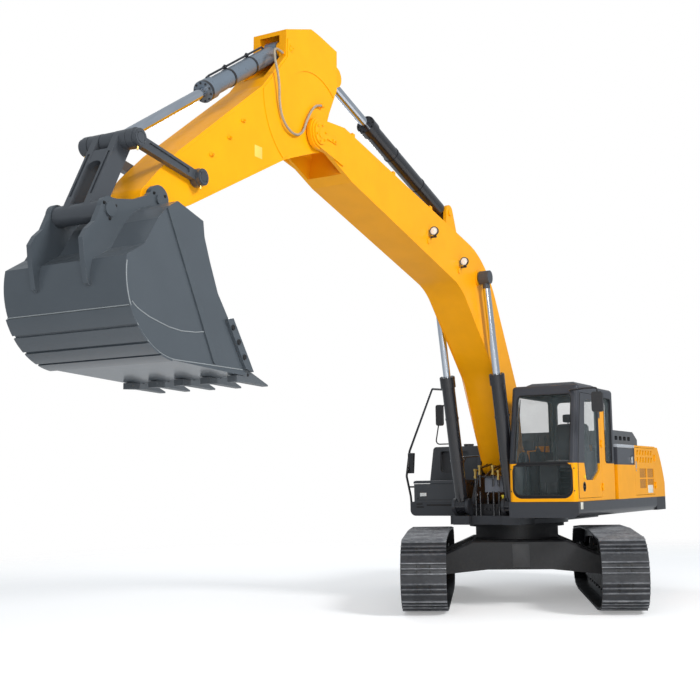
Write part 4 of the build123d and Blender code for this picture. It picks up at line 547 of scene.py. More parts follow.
# thin black strips on the deck front: painted shade inside its slots
slot_shadows = bmesh.new()
for y_low, y_high, z in DECK_SLOT_SHADOWS:
    plate(slot_shadows, (DECK_FRONT - 0.004, y_low, z - SLOT_SHADOW_HALF), (DECK_FRONT + 0.003, y_high, z + SLOT_SHADOW_HALF),
          0.001)
add_piece("deck_front_slot_shadows", slot_shadows, "house", rubber.material)

# The counterweight: one grey-iron casting, filled and painted yellow above and black along its
# foot, with two cast lifting eyes. Its skin keeps the slight waves of the mould.
YELLOW = (0.93, 0.385, 0.004)
YELLOW_DUST = (0.88, 0.42, 0.025)
FOOT_BAND = 1.452
FOOT_BLACK = (0.034, 0.034, 0.038)


def yellow_coat(name, gloss, wear=None, over=None, film_most=1.0, shine=0.12):
    """Yellow enamel, with the yellowish dust that lies on it."""
    return enamel(name, YELLOW, gloss, 0.06, wear=wear, dust=YELLOW_DUST, over=over,
                  film_most=film_most, shine=shine)


def band_below(paint, shade):
    return (1 - paint.z.past(FOOT_BAND)).mix(shade, FOOT_BLACK)


finish_nodes(yellow_coat("casting_yellow", 0.36, over=band_below), "counterweight")

# The machinery housing: pressed steel panels and doors in yellow enamel, a dark side panel, and
# screens of punched sheet behind the recesses of the left door, darkened with painted shade in the
# recesses and in their holes. The latches are die-cast.
SKIN_LEFT, SKIN_RIGHT = 1.480, -1.450
SHEET_WEAR = (0.45, 0.25, 0.08)
PANEL_COLOUR = (0.055, 0.058, 0.068)
PALE_SHEET = (0.42, 0.44, 0.47)
SHEETS_X, SHEETS_FOOT, SHEETS_EDGE = (-1.246, -0.250), 1.960, 2.218
SCREENS_X, SCREENS_Y, SCREENS_Z = (-2.335, -1.505), (1.45, 1.4735), (1.600, 1.905)
SCREEN_PITCH = 0.016
# the screens' darker orange and their near-black holes are painted shade
SCREEN_RECESS_PAINTED_SHADE, SCREEN_HOLE_PAINTED_SHADE = (0.62, 0.25, 0.008), (0.02, 0.016, 0.01)


def between(value, low, high):
    """1 where the value lies between two limits."""
    return value.past(low) * (1 - value.past(high))


def housing_colours(paint, shade):
    """The sheets ahead of the left door are charcoal, with a pale top edge."""
    ahead_of_door = between(paint.x, *SHEETS_X) * paint.z.past(SHEETS_FOOT) * paint.y.past(1.11, 0.01)
    return ahead_of_door.mix(shade, paint.z.past(SHEETS_EDGE).mix(PANEL_COLOUR, PALE_SHEET))


def off_middle(value):
    """How far a value is from the middle of its cell of the screen, in cells."""
    return value.maths("FRACT", value * (1 / SCREEN_PITCH)) - 0.5


def punched_screens_with_painted_shade(paint, shade):
    """Rows of round holes in the recessed screens of the left door: the recess is painted a darker orange
    and the holes near black, both painted shade.
    """
    hole = 1 - apart(off_middle(paint.x), off_middle(paint.z)).step(0.22, 0.34)
    region = between(paint.x, *SCREENS_X) * between(paint.z, *SCREENS_Z) * between(paint.y, *SCREENS_Y)
    return (hole * region).mix(region.mix(shade, SCREEN_RECESS_PAINTED_SHADE), SCREEN_HOLE_PAINTED_SHADE)


yellow = yellow_coat("yellow_enamel", 0.34, SHEET_WEAR)
finish_nodes(yellow, "pump_door")
finish_nodes(yellow_coat("housing_enamel", 0.34, SHEET_WEAR, housing_colours), "machinery_housing")
finish_nodes(yellow_coat("screen_door_yellow_painted_shade", 0.34, SHEET_WEAR, punched_screens_with_painted_shade), "rear_left_door")
finish_nodes(enamel("charcoal_panel", PANEL_COLOUR, 0.38, 0.15), "side_panel")

zinc = grained("zinc_plate", 30.0, 4.0, (0.50, 0.50, 0.49), (0.72, 0.72, 0.71), 0.28, 0.2, Metallic=0.9)
blank = Finish("blank_plate", Specular_IOR_Level=0.4, Coat_Weight=0.2)
blank_stain = blank.noise(14.0, 4.0)
blank.set(Base_Color=blank_stain.step(0.35, 0.8).mix((0.80, 0.78, 0.70), (0.62, 0.58, 0.48)),
          Roughness=0.38 + blank_stain * 0.15)


def add_latch(name, x, z, skin, side, body):
    """Die-cast paddle latch with a keyhole button below it."""
    drawn = bmesh.new()
    under, over = sorted((skin - side * 0.001, skin + side * 0.009))
    plate(drawn, (x - 0.024, under, z - 0.055), (x + 0.024, over, z + 0.055), 0.006, 3)
    bar(drawn, (x, skin, z - 0.085), (x, skin + side * 0.010, z - 0.085), 0.013)
    add_piece(name, drawn, body, zinc.material)


def add_plate(name, low, high, ease, body, finish, steps=2):
    """A piece that is one plate or block with eased edges."""
    drawn = bmesh.new()
    plate(drawn, low, high, ease, steps)
    add_piece(name, drawn, body, finish)


add_latch("left_door_latch", -1.310, 1.960, SKIN_LEFT, 1, "rear_left_door")
add_latch("pump_door_latch", -1.420, 1.860, SKIN_RIGHT, -1, "pump_door")
trim = bmesh.new()
plate(trim, (-1.115, SKIN_LEFT - 0.009, 1.985), (-1.065, SKIN_LEFT + 0.016, 2.085), 0.006, 3)
plate(trim, (-1.140, SKIN_LEFT - 0.012, 2.212), (-0.375, SKIN_LEFT + 0.004, 2.222), 0.002)
add_piece("side_panel_trim", trim, "house", zinc.material)
add_plate("left_door_blank_plate", (-2.255, SKIN_LEFT - 0.008, 1.520), (-1.965, SKIN_LEFT + 0.002, 1.645),
          0.0015, "rear_left_door", blank.material)
add_plate("deck_blank_plate", (1.335, SKIN_LEFT, 1.352), (1.435, SKIN_LEFT + 0.003, 1.446),
          0.001, "house", blank.material)

# The hood, tanks, toolbox, rails and mirrors: pressed and welded steel in gloss black, moulded
# black mirror shells with silvered glass. A small marker lamp sits in the front of the toolbox.
MIRRORS = (
    # x, y, z of the shell's middle, width and height of the glass
    (1.552, 1.800, 2.770, 0.118, 0.236),
    (-0.110, -1.278, 2.790, 0.088, 0.296),
)
GLASS_FROM, GLASS_TO = 0.031, 0.027
CAP_Y, CAP_RADIUS, CAP_GRIPS = -0.900, 0.082, 8
CAPS = ((-0.358, 2.324), (-0.975, 2.284))
STEP_TOP, TREAD_PITCH, TREADS = 1.8895, 0.041, 11
black_gloss = enamel("black_enamel", (0.014, 0.014, 0.017), 0.26, 0.4)
hood_black = enamel("hood_charcoal", (0.050, 0.053, 0.060), 0.30, 0.3)
tank_black = enamel("tank_charcoal", (0.044, 0.047, 0.053), 0.34, 0.25)
finish_nodes(black_gloss, "handrails")
finish_nodes(hood_black, "engine_hood", "toolbox_lid")
finish_nodes(tank_black, "fuel_tank", "hydraulic_tank", "toolbox")

moulding = grained("moulded_black", 26.0, 3.0, (0.016, 0.016, 0.018), (0.032, 0.032, 0.034), 0.42, 0.15,
                   Specular_IOR_Level=0.4)
moulding.bump(moulding.noise(420.0, 2.0), 0.12, 0.001)
finish_nodes(moulding.material, "mirrors", "console")
silvered = grained("mirror_glass", 6.0, 3.0, (0.70, 0.72, 0.74), (0.80, 0.81, 0.82), 0.03, 0.05,
                   Metallic=1.0)
panes = bmesh.new()
for x, y, z, width, height in MIRRORS:
    plate(panes, (x - GLASS_FROM, y - width / 2, z - height / 2),
          (x - GLASS_TO, y + width / 2, z + height / 2), 0.0015)
add_piece("mirror_panes", panes, "house", silvered.material)

lens = Finish("lamp_lens", Specular_IOR_Level=0.6, Coat_Weight=0.6, Coat_Roughness=0.05)
flutes = lens.root.maths("SINE", lens.y * 700.0)
lens.set(Base_Color=flutes.step(-1.0, 1.0).mix((0.66, 0.67, 0.66), (0.88, 0.88, 0.86)),
         Roughness=0.16 + lens.noise(40.0) * 0.1)
lens.bump(flutes, 0.4, 0.002)
add_plate("toolbox_marker_lamp", (DECK_FRONT, -1.280, 1.532), (DECK_FRONT + 0.014, -1.172, 1.584),
          0.006, "house", lens.material, 3)
seams = bmesh.new()
plate(seams, (DECK_FRONT - 0.001, -1.345, 1.474), (DECK_FRONT + 0.002, -0.660, 1.480), 0.001)
for y in (-1.32, -0.70):
    bolt(seams, (DECK_FRONT, y, 1.500), (1, 0, 0), 0.008, 0.008)
add_piece("toolbox_foot_seam", seams, "house", rubber.material)
caps = bmesh.new()
for x, top in CAPS:
    bar(caps, (x, CAP_Y, top - 0.004), (x, CAP_Y, top + 0.008), CAP_RADIUS, CAP_RADIUS - 0.004, 32)
    for number in range(CAP_GRIPS):
        grip = Matrix.Rotation(2 * math.pi * number / CAP_GRIPS, 3, "Z") @ Vector((CAP_RADIUS - 0.010, 0, 0))
        grip += Vector((x, CAP_Y, top))
        bar(caps, grip - Vector((0, 0, 0.020)), grip + Vector((0, 0, 0.004)), 0.010)
add_piece("tank_caps", caps, "house", moulding.material)
treads = bmesh.new()
for x in (-0.09, -0.13):
    for number in range(TREADS):
        y = -1.23 + number * TREAD_PITCH
        plate(treads, (x - 0.006, y, STEP_TOP), (x + 0.006, y + 0.020, STEP_TOP + 0.0035), 0.001, 1)
add_piece("tank_step_treads", treads, "house", rubber.material)

# The cab: a welded steel shell, yellow below the window sill and on the pillar behind the door,
# charcoal above. Its panes lie in black rubber, and the inside is lined with grey moulded board.
SILL = 1.972
PILLAR_REAR, PILLAR_FRONT, PILLAR_TOP = 0.120, 0.500, 2.905
DOOR_PILLAR, DOOR_PILLAR_TOP = 0.464, 2.61
CAB_CHARCOAL = (0.050, 0.053, 0.062)
LINING = (0.125, 0.140, 0.142)
PANE_BORDER = (0.016, 0.016, 0.018)
CAB_FRONT, BEND_Z, WINDSCREEN_LEAN = 1.515, 1.965, 0.1889
CAB_SKIN, CAB_MIDDLE_Y = 1.463, 0.981
LOWER_PANE_HALF_Y, LOWER_PANE_HALF_Z, LOWER_PANE_Z, PANE_CORNER = 0.407, 0.2225, 1.7425, 0.110
HANDLE_X, HANDLE_Z, HANDLE_RADIUS = 1.185, 1.650, 0.067
INSIDE_X, INSIDE_Y, INSIDE_Z = (-0.240, 1.485), (0.530, 1.432), (1.485, 3.020)


def pane_distance(paint):
    """Distance outside the rounded lower pane."""
    side = (abs(paint.y - CAB_MIDDLE_Y) - (LOWER_PANE_HALF_Y - PANE_CORNER)).at_least(0.0)
    rise = (abs(paint.z - LOWER_PANE_Z) - (LOWER_PANE_HALF_Z - PANE_CORNER)).at_least(0.0)
    return apart(side, rise) - PANE_CORNER


def cab_colours(paint, shade):
    pillar = (between(paint.x, PILLAR_REAR, PILLAR_FRONT) * (1 - paint.z.past(PILLAR_TOP, 0.005))
              * paint.y.past(1.390, 0.005))
    yellow_part = pillar.at_least(1 - paint.z.past(SILL))
    tone = yellow_part.mix(CAB_CHARCOAL, shade)
    border = (1 - pane_distance(paint).step(0.020, 0.024)) * paint.x.step(1.40, 1.42)
    tone = border.mix(tone, PANE_BORDER)
    straightened = paint.x + (paint.z - BEND_Z).at_least(0.0) * WINDSCREEN_LEAN
    inside = between(straightened, *INSIDE_X) * between(paint.y, *INSIDE_Y) * between(paint.z, *INSIDE_Z)
    return inside.mix(tone, LINING)


def door_colours(paint, shade):
    tone = paint.z.past(SILL).mix(shade, CAB_CHARCOAL)
    pillar = (1 - paint.x.past(DOOR_PILLAR)) * (1 - paint.z.past(DOOR_PILLAR_TOP, 0.01))
    tone = pillar.mix(tone, shade)
    cup = 1 - apart(paint.x - HANDLE_X, paint.z - HANDLE_Z).past(HANDLE_RADIUS, 0.001)
    tone = cup.mix(tone, (0.02, 0.02, 0.022))
    return (1 - paint.y.step(1.425, 1.430)).mix(tone, LINING)


finish_nodes(yellow_coat("cab_enamel", 0.32, over=cab_colours, film_most=0.5, shine=0.14), "cab_shell")
finish_nodes(yellow_coat("cab_door_enamel", 0.32, over=door_colours, film_most=0.5, shine=0.14), "cab_door")
finish_nodes(enamel("roof_charcoal", CAB_CHARCOAL, 0.36, 0.2), "roof_hatch")

glass = Finish("window_glass", IOR=1.5, Specular_IOR_Level=0.7, Coat_Weight=0.5, Coat_Roughness=0.02)
film = glass.noise(1.6, 3.0)
edge_on = glass.root.out(glass.root.node("ShaderNodeLayerWeight", Blend=0.3), "Facing")
glass.set(Base_Color=film.step(0.35, 0.65).mix((0.075, 0.105, 0.105), (0.13, 0.17, 0.18)),
          Alpha=0.08 + edge_on * 0.28 + (film - 0.5) * 0.12,
          Roughness=0.03 + glass.noise(24.0) * 0.04)
finish_nodes(glass.material, "cab_glass", "door_glass")


def rounded(low, high, radii, steps=6):
    """Points round a rectangle with its own radius at each corner, counter-clockwise."""
    points = []
    corners = ((high[0], low[1]), (high[0], high[1]), (low[0], high[1]), (low[0], low[1]))
    for number, ((x, y), radius) in enumerate(zip(corners, radii)):
        inward_x = -1 if x == high[0] else 1
        inward_y = -1 if y == high[1] else 1
        for step in range(steps + 1):
            angle = math.radians(-90 + 90 * number + 90 * step / steps)
            points.append((x + inward_x * radius + radius * math.cos(angle),
                           y + inward_y * radius + radius * math.sin(angle)))
    return points


def on_front(y, z, proud=0.0):
    """A point on the front of the cab, which leans back above the bend."""
    return (CAB_FRONT - max(0.0, z - BEND_Z) * WINDSCREEN_LEAN + proud, y, z)


SEALS = (
    # name, points, closed, radius
    ("lower_pane_seal",
     [(CAB_FRONT + 0.001, y, z) for y, z in
      rounded((0.575, 1.540), (1.387, 1.945), (PANE_CORNER, 0.004, 0.004, PANE_CORNER))], True, 0.007),
    ("windscreen_seal",
     [on_front(y, z, 0.001) for y, z in
      rounded((0.595, 1.985), (1.367, 2.915), (0.004, 0.060, 0.060, 0.004))], True, 0.007),
    ("quarter_pane_seal",
     [(x, CAB_SKIN, z) for x, z in rounded((-0.120, 1.985), (0.196, 2.910), (0.045,) * 4)], True, 0.007),
    ("door_seam", [(1.437, CAB_SKIN, 1.497), (1.437, CAB_SKIN, 1.965), (1.255, CAB_SKIN, 2.925)],
     False, 0.005),
)
for name, points, closed, radius in SEALS:
    bead(name, points, "house", rubber.material, radius, closed)

WIPER_PIVOT, WIPER_ELBOW = (0.575, 2.02), (0.600, 2.62)
wiper = bmesh.new()
bar(wiper, on_front(*WIPER_PIVOT, 0.045), on_front(*WIPER_ELBOW, 0.030), 0.008)
bar(wiper, on_front(0.630, 2.18, 0.022), on_front(0.645, 2.86, 0.022), 0.007)
bar(wiper, on_front(*WIPER_ELBOW, 0.030), on_front(0.638, 2.52, 0.022), 0.006)
bar(wiper, on_front(*WIPER_PIVOT), on_front(*WIPER_PIVOT, 0.052), 0.022)
add_piece("windscreen_wiper", wiper, "house", moulding.material)
screws = bmesh.new()
for y in (0.532, 1.430):
    for z in (1.60, 1.90):
        bolt(screws, (CAB_FRONT, y, z), (1, 0, 0), 0.007, 0.006)
add_piece("cab_front_screws", screws, "house", moulding.material)
clip_paint = enamel("clip_yellow", (0.85, 0.66, 0.03), 0.4, dust=YELLOW_DUST)
add_plate("door_window_clip", (1.150, 1.460, 1.762), (1.180, 1.474, 1.806), 0.004, "cab_door",
          clip_paint, 3)

# Inside the cab: a sprung seat with padded cushions in dark cloth on a steel base, side consoles
# with joysticks, travel levers with pedals, and a column of switches at the right pillar.
CAB_FLOOR = 1.517
FOLDS, FOLD_STEP = 6, 0.034
SEWN_WIDTH, SEWN_DEPTH = 0.022, 0.010
cloth = Finish("seat_cloth", Sheen_Weight=0.3)
weave = (cloth.root.maths("SINE", (cloth.x + cloth.z) * 900.0)
         * cloth.root.maths("SINE", (cloth.y - cloth.z) * 900.0))
sun_fade = cloth.noise(7.0)
cloth.set(Base_Color=sun_fade.mix((0.035, 0.036, 0.040), (0.075, 0.075, 0.080)),
          Roughness=0.82 + sun_fade * 0.12)
cloth.bump(weave, 0.35, 0.002)


def cushion(name, low, high, seams_at, seam_axis, face_axis):
    """A padded block with pulled-in edges and sewn channels across its face."""
    drawn = bmesh.new()
    low, high = Vector(low), Vector(high)
    bmesh.ops.create_cube(drawn, size=1)
    bmesh.ops.subdivide_edges(drawn, edges=drawn.edges, cuts=13, use_grid_fill=True)
    for _ in range(7):
        bmesh.ops.smooth_vert(drawn, verts=drawn.verts, factor=0.6, use_axis_x=True,
                              use_axis_y=True, use_axis_z=True)
    reach = [max(vertex.co[axis] for vertex in drawn.verts) * 2 for axis in range(3)]
    size = high - low
    bmesh.ops.scale(drawn, verts=drawn.verts, vec=[size[axis] / reach[axis] for axis in range(3)])
    bmesh.ops.translate(drawn, verts=drawn.verts, vec=(low + high) / 2)
    for place in seams_at:
        for vertex in drawn.verts:
            near = max(0.0, 1 - abs(vertex.co[seam_axis] - place) / SEWN_WIDTH)
            if near and vertex.co[face_axis] > (low + high)[face_axis] / 2:
                vertex.co[face_axis] -= SEWN_DEPTH * near
    made = add_piece(name, drawn, "house", cloth.material, 180)
    soften = made.modifiers.new("subdivision", "SUBSURF")
    soften.levels = soften.render_levels = 1


cushion("seat_cushion", (0.200, 0.722, 1.902), (0.718, 1.238, 2.028), (0.60, 0.46, 0.32), 0, 2)
cushion("seat_back", (0.121, 0.742, 2.030), (0.239, 1.218, 2.560), (2.18, 2.32, 2.46), 2, 0)
cushion("seat_headrest", (0.130, 0.850, 2.580), (0.230, 1.110, 2.698), (), 1, 0)
base = bmesh.new()
plate(base, (0.252, 0.782, CAB_FLOOR), (0.648, 1.178, 1.640), 0.012, 3)
for level in range(FOLDS):
    inset = 0.012 * (level % 2)
    foot = 1.640 + level * FOLD_STEP
    plate(base, (0.262 + inset, 0.792 + inset, foot),
          (0.638 - inset, 1.168 - inset, foot + FOLD_STEP), 0.006)
plate(base, (0.240, 0.760, 1.844), (0.690, 1.200, 1.902), 0.015, 3)
for y in (0.920, 1.040):
    bar(base, (0.180, y, 2.540), (0.180, y, 2.600), 0.009)
seat_base = add_piece("seat_base", base, "house", moulding.material)
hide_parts("operator_seat")

controls = bmesh.new()
for y in (0.640, 1.320):
    bar(controls, (0.700, y, 2.149), (0.715, y, 2.205), 0.040, 0.020, 16)
    bar(controls, (0.715, y, 2.200), (0.730, y, 2.300), 0.011)
    bar(controls, (0.730, y, 2.290), (0.735, y, 2.385), 0.024, 0.019, 16)
for y in (0.900, 1.060):
    bar(controls, (1.200, y, 2.000), (1.120, y, 2.300), 0.010)
    bar(controls, (1.122, y, 2.290), (1.105, y, 2.350), 0.018, 0.016, 12)
    plate(controls, (1.252, y - 0.045, 1.560), (1.268, y + 0.045, 1.720), 0.006)
plate(controls, (1.120, 0.590, 2.160), (1.180, 0.760, 2.300), 0.015, 3)
bar(controls, (1.150, 0.600, 1.520), (1.150, 0.620, 2.180), 0.016)
add_piece("cab_controls", controls, "house", moulding.material)

# The boom: a box of welded plates in yellow enamel, with pipes clamped along its back, a cast
# foot on its pin and two round work lamps on brackets. Bolted plates hold the pins.
LINKAGE_GREY = (0.052, 0.058, 0.067)
LEVER_PIN = (8.235, 4.515, 0.215)
LIFT_PIN = (1.850, 4.540, 0.302)
BOOM_WEAR = (0.45, 0.22, 0.05)
BOOM_SIDE = 0.265
FOOT_PIN_X, FOOT_PIN_Z, FOOT_CAP = 0.450, 1.990, 0.376
BACK_START, BACK_END, CLAMP_RISE = Vector((1.545, 4.850)), Vector((5.540, 5.700)), 0.052
LAMP_SPOTS = ((2.485, 4.667), (3.414, 4.909))
LAMP_Y, LENS_RADIUS = 0.343, 0.0495
UNION_X = 1.060
UNIONS = ((-0.124, 1.923), (-0.193, 1.871), (0.079, 1.920), (0.162, 1.847))
DECK_Z = 1.250


def dark_pin(pin, reach):
    """Grey where a pin shows outside the yellow plates that it goes through."""
    def colours(paint, shade):
        near = 1 - apart(paint.x - pin[0], paint.z - pin[1]).step(reach, reach + 0.002)
        return (near * abs(paint.y).step(pin[2], pin[2] + 0.002)).mix(shade, LINKAGE_GREY)
    return colours


finish_nodes(yellow_coat("boom_yellow", 0.32, BOOM_WEAR, dark_pin(LIFT_PIN, 0.13)), "boom")
finish_nodes(yellow_coat("arm_yellow", 0.32, BOOM_WEAR, dark_pin(LEVER_PIN, 0.11)), "arm")
pipe_paint = enamel("pipe_grey", (0.030, 0.032, 0.036), 0.34, 0.2, wear=(0.40, 0.40, 0.40))
finish_nodes(pipe_paint, "boom_pipes")
finish_nodes(moulding.material, "boom_lamps")
lenses = bmesh.new()
for x, z in LAMP_SPOTS:
    bar(lenses, (x, LAMP_Y, z), (x + 0.003, LAMP_Y, z), LENS_RADIUS, sides=32)
    bar(lenses, (x + 0.003, LAMP_Y, z), (x + 0.007, LAMP_Y, z), LENS_RADIUS, 0.034, 32)
add_piece("boom_lamp_lenses", lenses, "boom", lens.material)

brass = grained("brass", 22.0, 4.0, (0.55, 0.36, 0.09), (0.80, 0.58, 0.20), 0.28, 0.2, Metallic=1.0)


def bent_pipe(drawn, corners, radius):
    """A pipe in straight runs from corner to corner."""
    for start, end in zip(corners, corners[1:]):
        bar(drawn, start, end, radius)


fittings = bmesh.new()
carriers = bmesh.new()
risers = bmesh.new()
for y, z in UNIONS:
    bar(fittings, (UNION_X, y, z - 0.055), (UNION_X, y, z + 0.030), 0.020, sides=6)
    bar(fittings, (UNION_X, y, z + 0.020), (UNION_X, y, z + 0.050), 0.030, sides=6)
    bar(fittings, (UNION_X, y, z - 0.085), (UNION_X, y, z - 0.050), 0.026, sides=6)
    bar(carriers, (UNION_X, y, z - 0.080), (UNION_X, y, 1.665), 0.015)
    bar(carriers, (UNION_X - 0.010, y, z + 0.010), (0.600, y, 1.990), 0.014)
    bar(risers, (UNION_X, y, DECK_Z), (UNION_X, y, 1.600), 0.015)
plate(carriers, (0.985, -0.225, 1.800), (1.045, 0.200, 1.818), 0.004)
for y in (-0.060, 0.015):
    bar(carriers, (1.010, y, 1.809), (0.610, y, 1.960), 0.016)
for y, top in ((-0.235, 1.460), (-0.040, 1.520), (0.215, 1.480)):
    bent_pipe(risers, ((0.985, y, DECK_Z), (0.985, y, top), (0.880, y, top + 0.090)), 0.018)
for y in (-0.527, -0.555):
    bent_pipe(risers, ((0.780, y, DECK_Z), (0.780, y, 1.960), (0.620, y, 2.110), (-0.030, y, 2.130)),
              0.012)
add_piece("boom_foot_fittings", fittings, "boom", brass.material)
add_piece("boom_foot_unions_carrier", carriers, "boom", black_gloss)
add_piece("boom_foot_pipes", risers, "house", black_gloss)
valves = bmesh.new()
plate(valves, (0.930, -0.270, DECK_Z + 0.006), (1.020, 0.270, 1.420), 0.010)
for number in range(9):
    y = -0.230 + number * 0.0575
    bar(valves, (1.018, y, 1.345), (1.052, y, 1.345), 0.018, sides=12)
    bolt(valves, (1.018, y + 0.028, 1.395), (1, 0, 0), 0.007, 0.008)
add_piece("valve_block", valves, "house", frame_black)
guard = bmesh.new()
plate(guard, (0.960, -0.090, 1.585), (0.966, 0.270, 1.815), 0.003)
for y in (0.000, 0.180):
    bar(guard, (0.962, y, 1.800), (0.640, y, 1.930), 0.010)
guard_paint = enamel("guard_grey", (0.16, 0.17, 0.20), 0.45, 0.1)
add_piece("boom_foot_guard", guard, "boom", guard_paint)
tap = bmesh.new()
bar(tap, (1.070, 0.227, 1.440), (1.070, 0.227, 1.540), 0.022, 0.014, 12)
plate(tap, (1.060, 0.205, 1.520), (1.084, 0.250, 1.548), 0.006)
add_piece("grease_tap", tap, "house", clip_paint)


def ring_of(drawn, centre, axis, outer, inner, height):
    """A washer or band about an axis: a profile spun right round."""
    way = Vector(axis).normalized()
    side = way.orthogonal().normalized()
    corners = [drawn.verts.new(Vector(centre) + side * radius + way * rise)
               for radius, rise in ((inner, 0), (outer, 0), (outer, height), (inner, height))]
    edges = [drawn.edges.new((corners[number], corners[(number + 1) % 4])) for number in range(4)]
    bmesh.ops.spin(drawn, geom=corners + edges, cent=centre, axis=way, angle=2 * math.pi, steps=28,
                   use_merge=True, use_duplicate=False)


hardware = bmesh.new()
foot_cap = bmesh.new()
for side in (-1, 1):
    facing = (0, side, 0)
    bolt_circle(hardware, (6.110, side * (BOOM_SIDE + 0.034), 5.488), facing, 0.092, 6, 0.012, 0.014)
    for x, z in ((5.800, 5.468), (5.860, 5.472)):
        bolt(hardware, (x, side * (BOOM_SIDE + 0.030), z), facing, 0.012, 0.014)
    for x in (3.275, 4.300, 5.300):
        share = (x - BACK_START.x) / (BACK_END.x - BACK_START.x)
        for y in (0.145, 0.1885, 0.232):
            bolt(hardware, (x, side * y, BACK_START.lerp(BACK_END, share).y + CLAMP_RISE), (0, 0, 1),
                 0.008, 0.010)
    outside = Vector((FOOT_PIN_X, side * FOOT_CAP, FOOT_PIN_Z))
    bar(foot_cap, outside - Vector(facing) * 0.010, outside, 0.090, 0.086, 32)
    bolt_circle(foot_cap, outside, facing, 0.062, 4, 0.010, 0.010)
add_piece("boom_bolts", hardware, "boom", yellow)
add_piece("boom_foot_pin_caps", foot_cap, "house", frame_black)

# The cylinders: honed steel barrels in black enamel with bolted gland rings, and hard-chromed rods
# ground to a mirror. A steel pipe on each barrel carries oil to the gland, held by two bands.
EYE_REACH = 0.155
GLAND_LENGTH = 0.150
PIPE_START = 0.230
PIPE_LIFT = 0.022
BAND_SHARES = (0.30, 0.72)
LIFT_FOOT, LIFT_EYE = (1.130, 1.400), (1.850, 4.540)
ARM_FOOT, ARM_EYE = (2.430, 5.370), (5.470, 6.340)
CURL_FOOT, CURL_EYE = (6.560, 6.300), (9.110, 4.660)
CYLINDERS = (
    # body, foot (x, z), eye (x, z), y, barrel radius, barrel length, which way the pipe lies
    ("lift_barrel_left", LIFT_FOOT, LIFT_EYE, 0.377, 0.092, 1.870, (-1, 0.7, 0)),
    ("lift_barrel_right", LIFT_FOOT, LIFT_EYE, -0.377, 0.092, 1.870, (-1, -0.7, 0)),
    ("arm_cylinder_barrel", ARM_FOOT, ARM_EYE, 0.0, 0.100, 2.240, (0, 0, 1)),
    ("bucket_cylinder_barrel", CURL_FOOT, CURL_EYE, 0.0, 0.090, 1.500, (0, 0, 1)),
)


def rod_finish(name, eye):
    """Hard chrome along the rod, grey enamel on its forged eye."""
    rod = Finish(name)
    streak = rod.noise(5.0, 3.0, stretch=(1.0, 14.0, 1.0))
    bare = apart(rod.x - eye[0], rod.z - eye[1]).step(EYE_REACH, EYE_REACH + 0.003)
    rod.set(Base_Color=bare.mix(LINKAGE_GREY, streak.mix((0.58, 0.63, 0.70), (0.78, 0.81, 0.86))),
            Metallic=bare, Roughness=0.34 - bare * 0.24 + streak * 0.08)
    return rod.material


finish_nodes(rod_finish("lift_rod_chrome", LIFT_EYE), "lift_rod_left", "lift_rod_right")
finish_nodes(rod_finish("arm_rod_chrome", ARM_EYE), "arm_cylinder_rod")
finish_nodes(rod_finish("bucket_rod_chrome", CURL_EYE), "bucket_cylinder_rod")
barrel_black = enamel("barrel_black", (0.013, 0.013, 0.016), 0.24, 0.5)
barrel_grey = enamel("barrel_grey", (0.12, 0.15, 0.185), 0.28, 0.4)
finish_nodes(barrel_black, "lift_barrel_left", "lift_barrel_right", "arm_cylinder_barrel")
finish_nodes(barrel_grey, "bucket_cylinder_barrel")

for body, foot, eye, y, radius, length, lean in CYLINDERS:
    foot, eye = Vector((foot[0], y, foot[1])), Vector((eye[0], y, eye[1]))
    way = (eye - foot).normalized()
    side = (Vector(lean) - way * way.dot(Vector(lean))).normalized()
    mouth = foot + way * length
    gland = mouth - way * GLAND_LENGTH
    ring = bmesh.new()
    ring_of(ring, mouth - way * 0.040, way, radius + 0.018, radius - 0.010, 0.036)
    bolt_circle(ring, mouth - way * 0.004, way, radius - 0.002, 10, 0.011, 0.014)
    add_piece(body + "_gland_ring", ring, body, barrel_black)
    pipe = bmesh.new()
    out = side * (radius + PIPE_LIFT)
    start, end = foot + way * PIPE_START, gland - way * 0.045
    bar(pipe, start + out, end + out, 0.011)
    bar(pipe, start + out, start + side * (radius - 0.004) - way * 0.030, 0.012)
    bar(pipe, end + out, gland + way * 0.020 + side * (radius + 0.014), 0.012)
    for share in BAND_SHARES:
        at = start.lerp(end, share)
        ring_of(pipe, at - way * 0.014, way, radius + 0.006, radius - 0.004, 0.028)
        bar(pipe, at + out - way * 0.018, at + out + way * 0.018, 0.019, sides=8)
        bolt(pipe, at + out + side * 0.012, side, 0.008, 0.012)
    add_piece(body + "_oil_pipe", pipe, body, barrel_black)

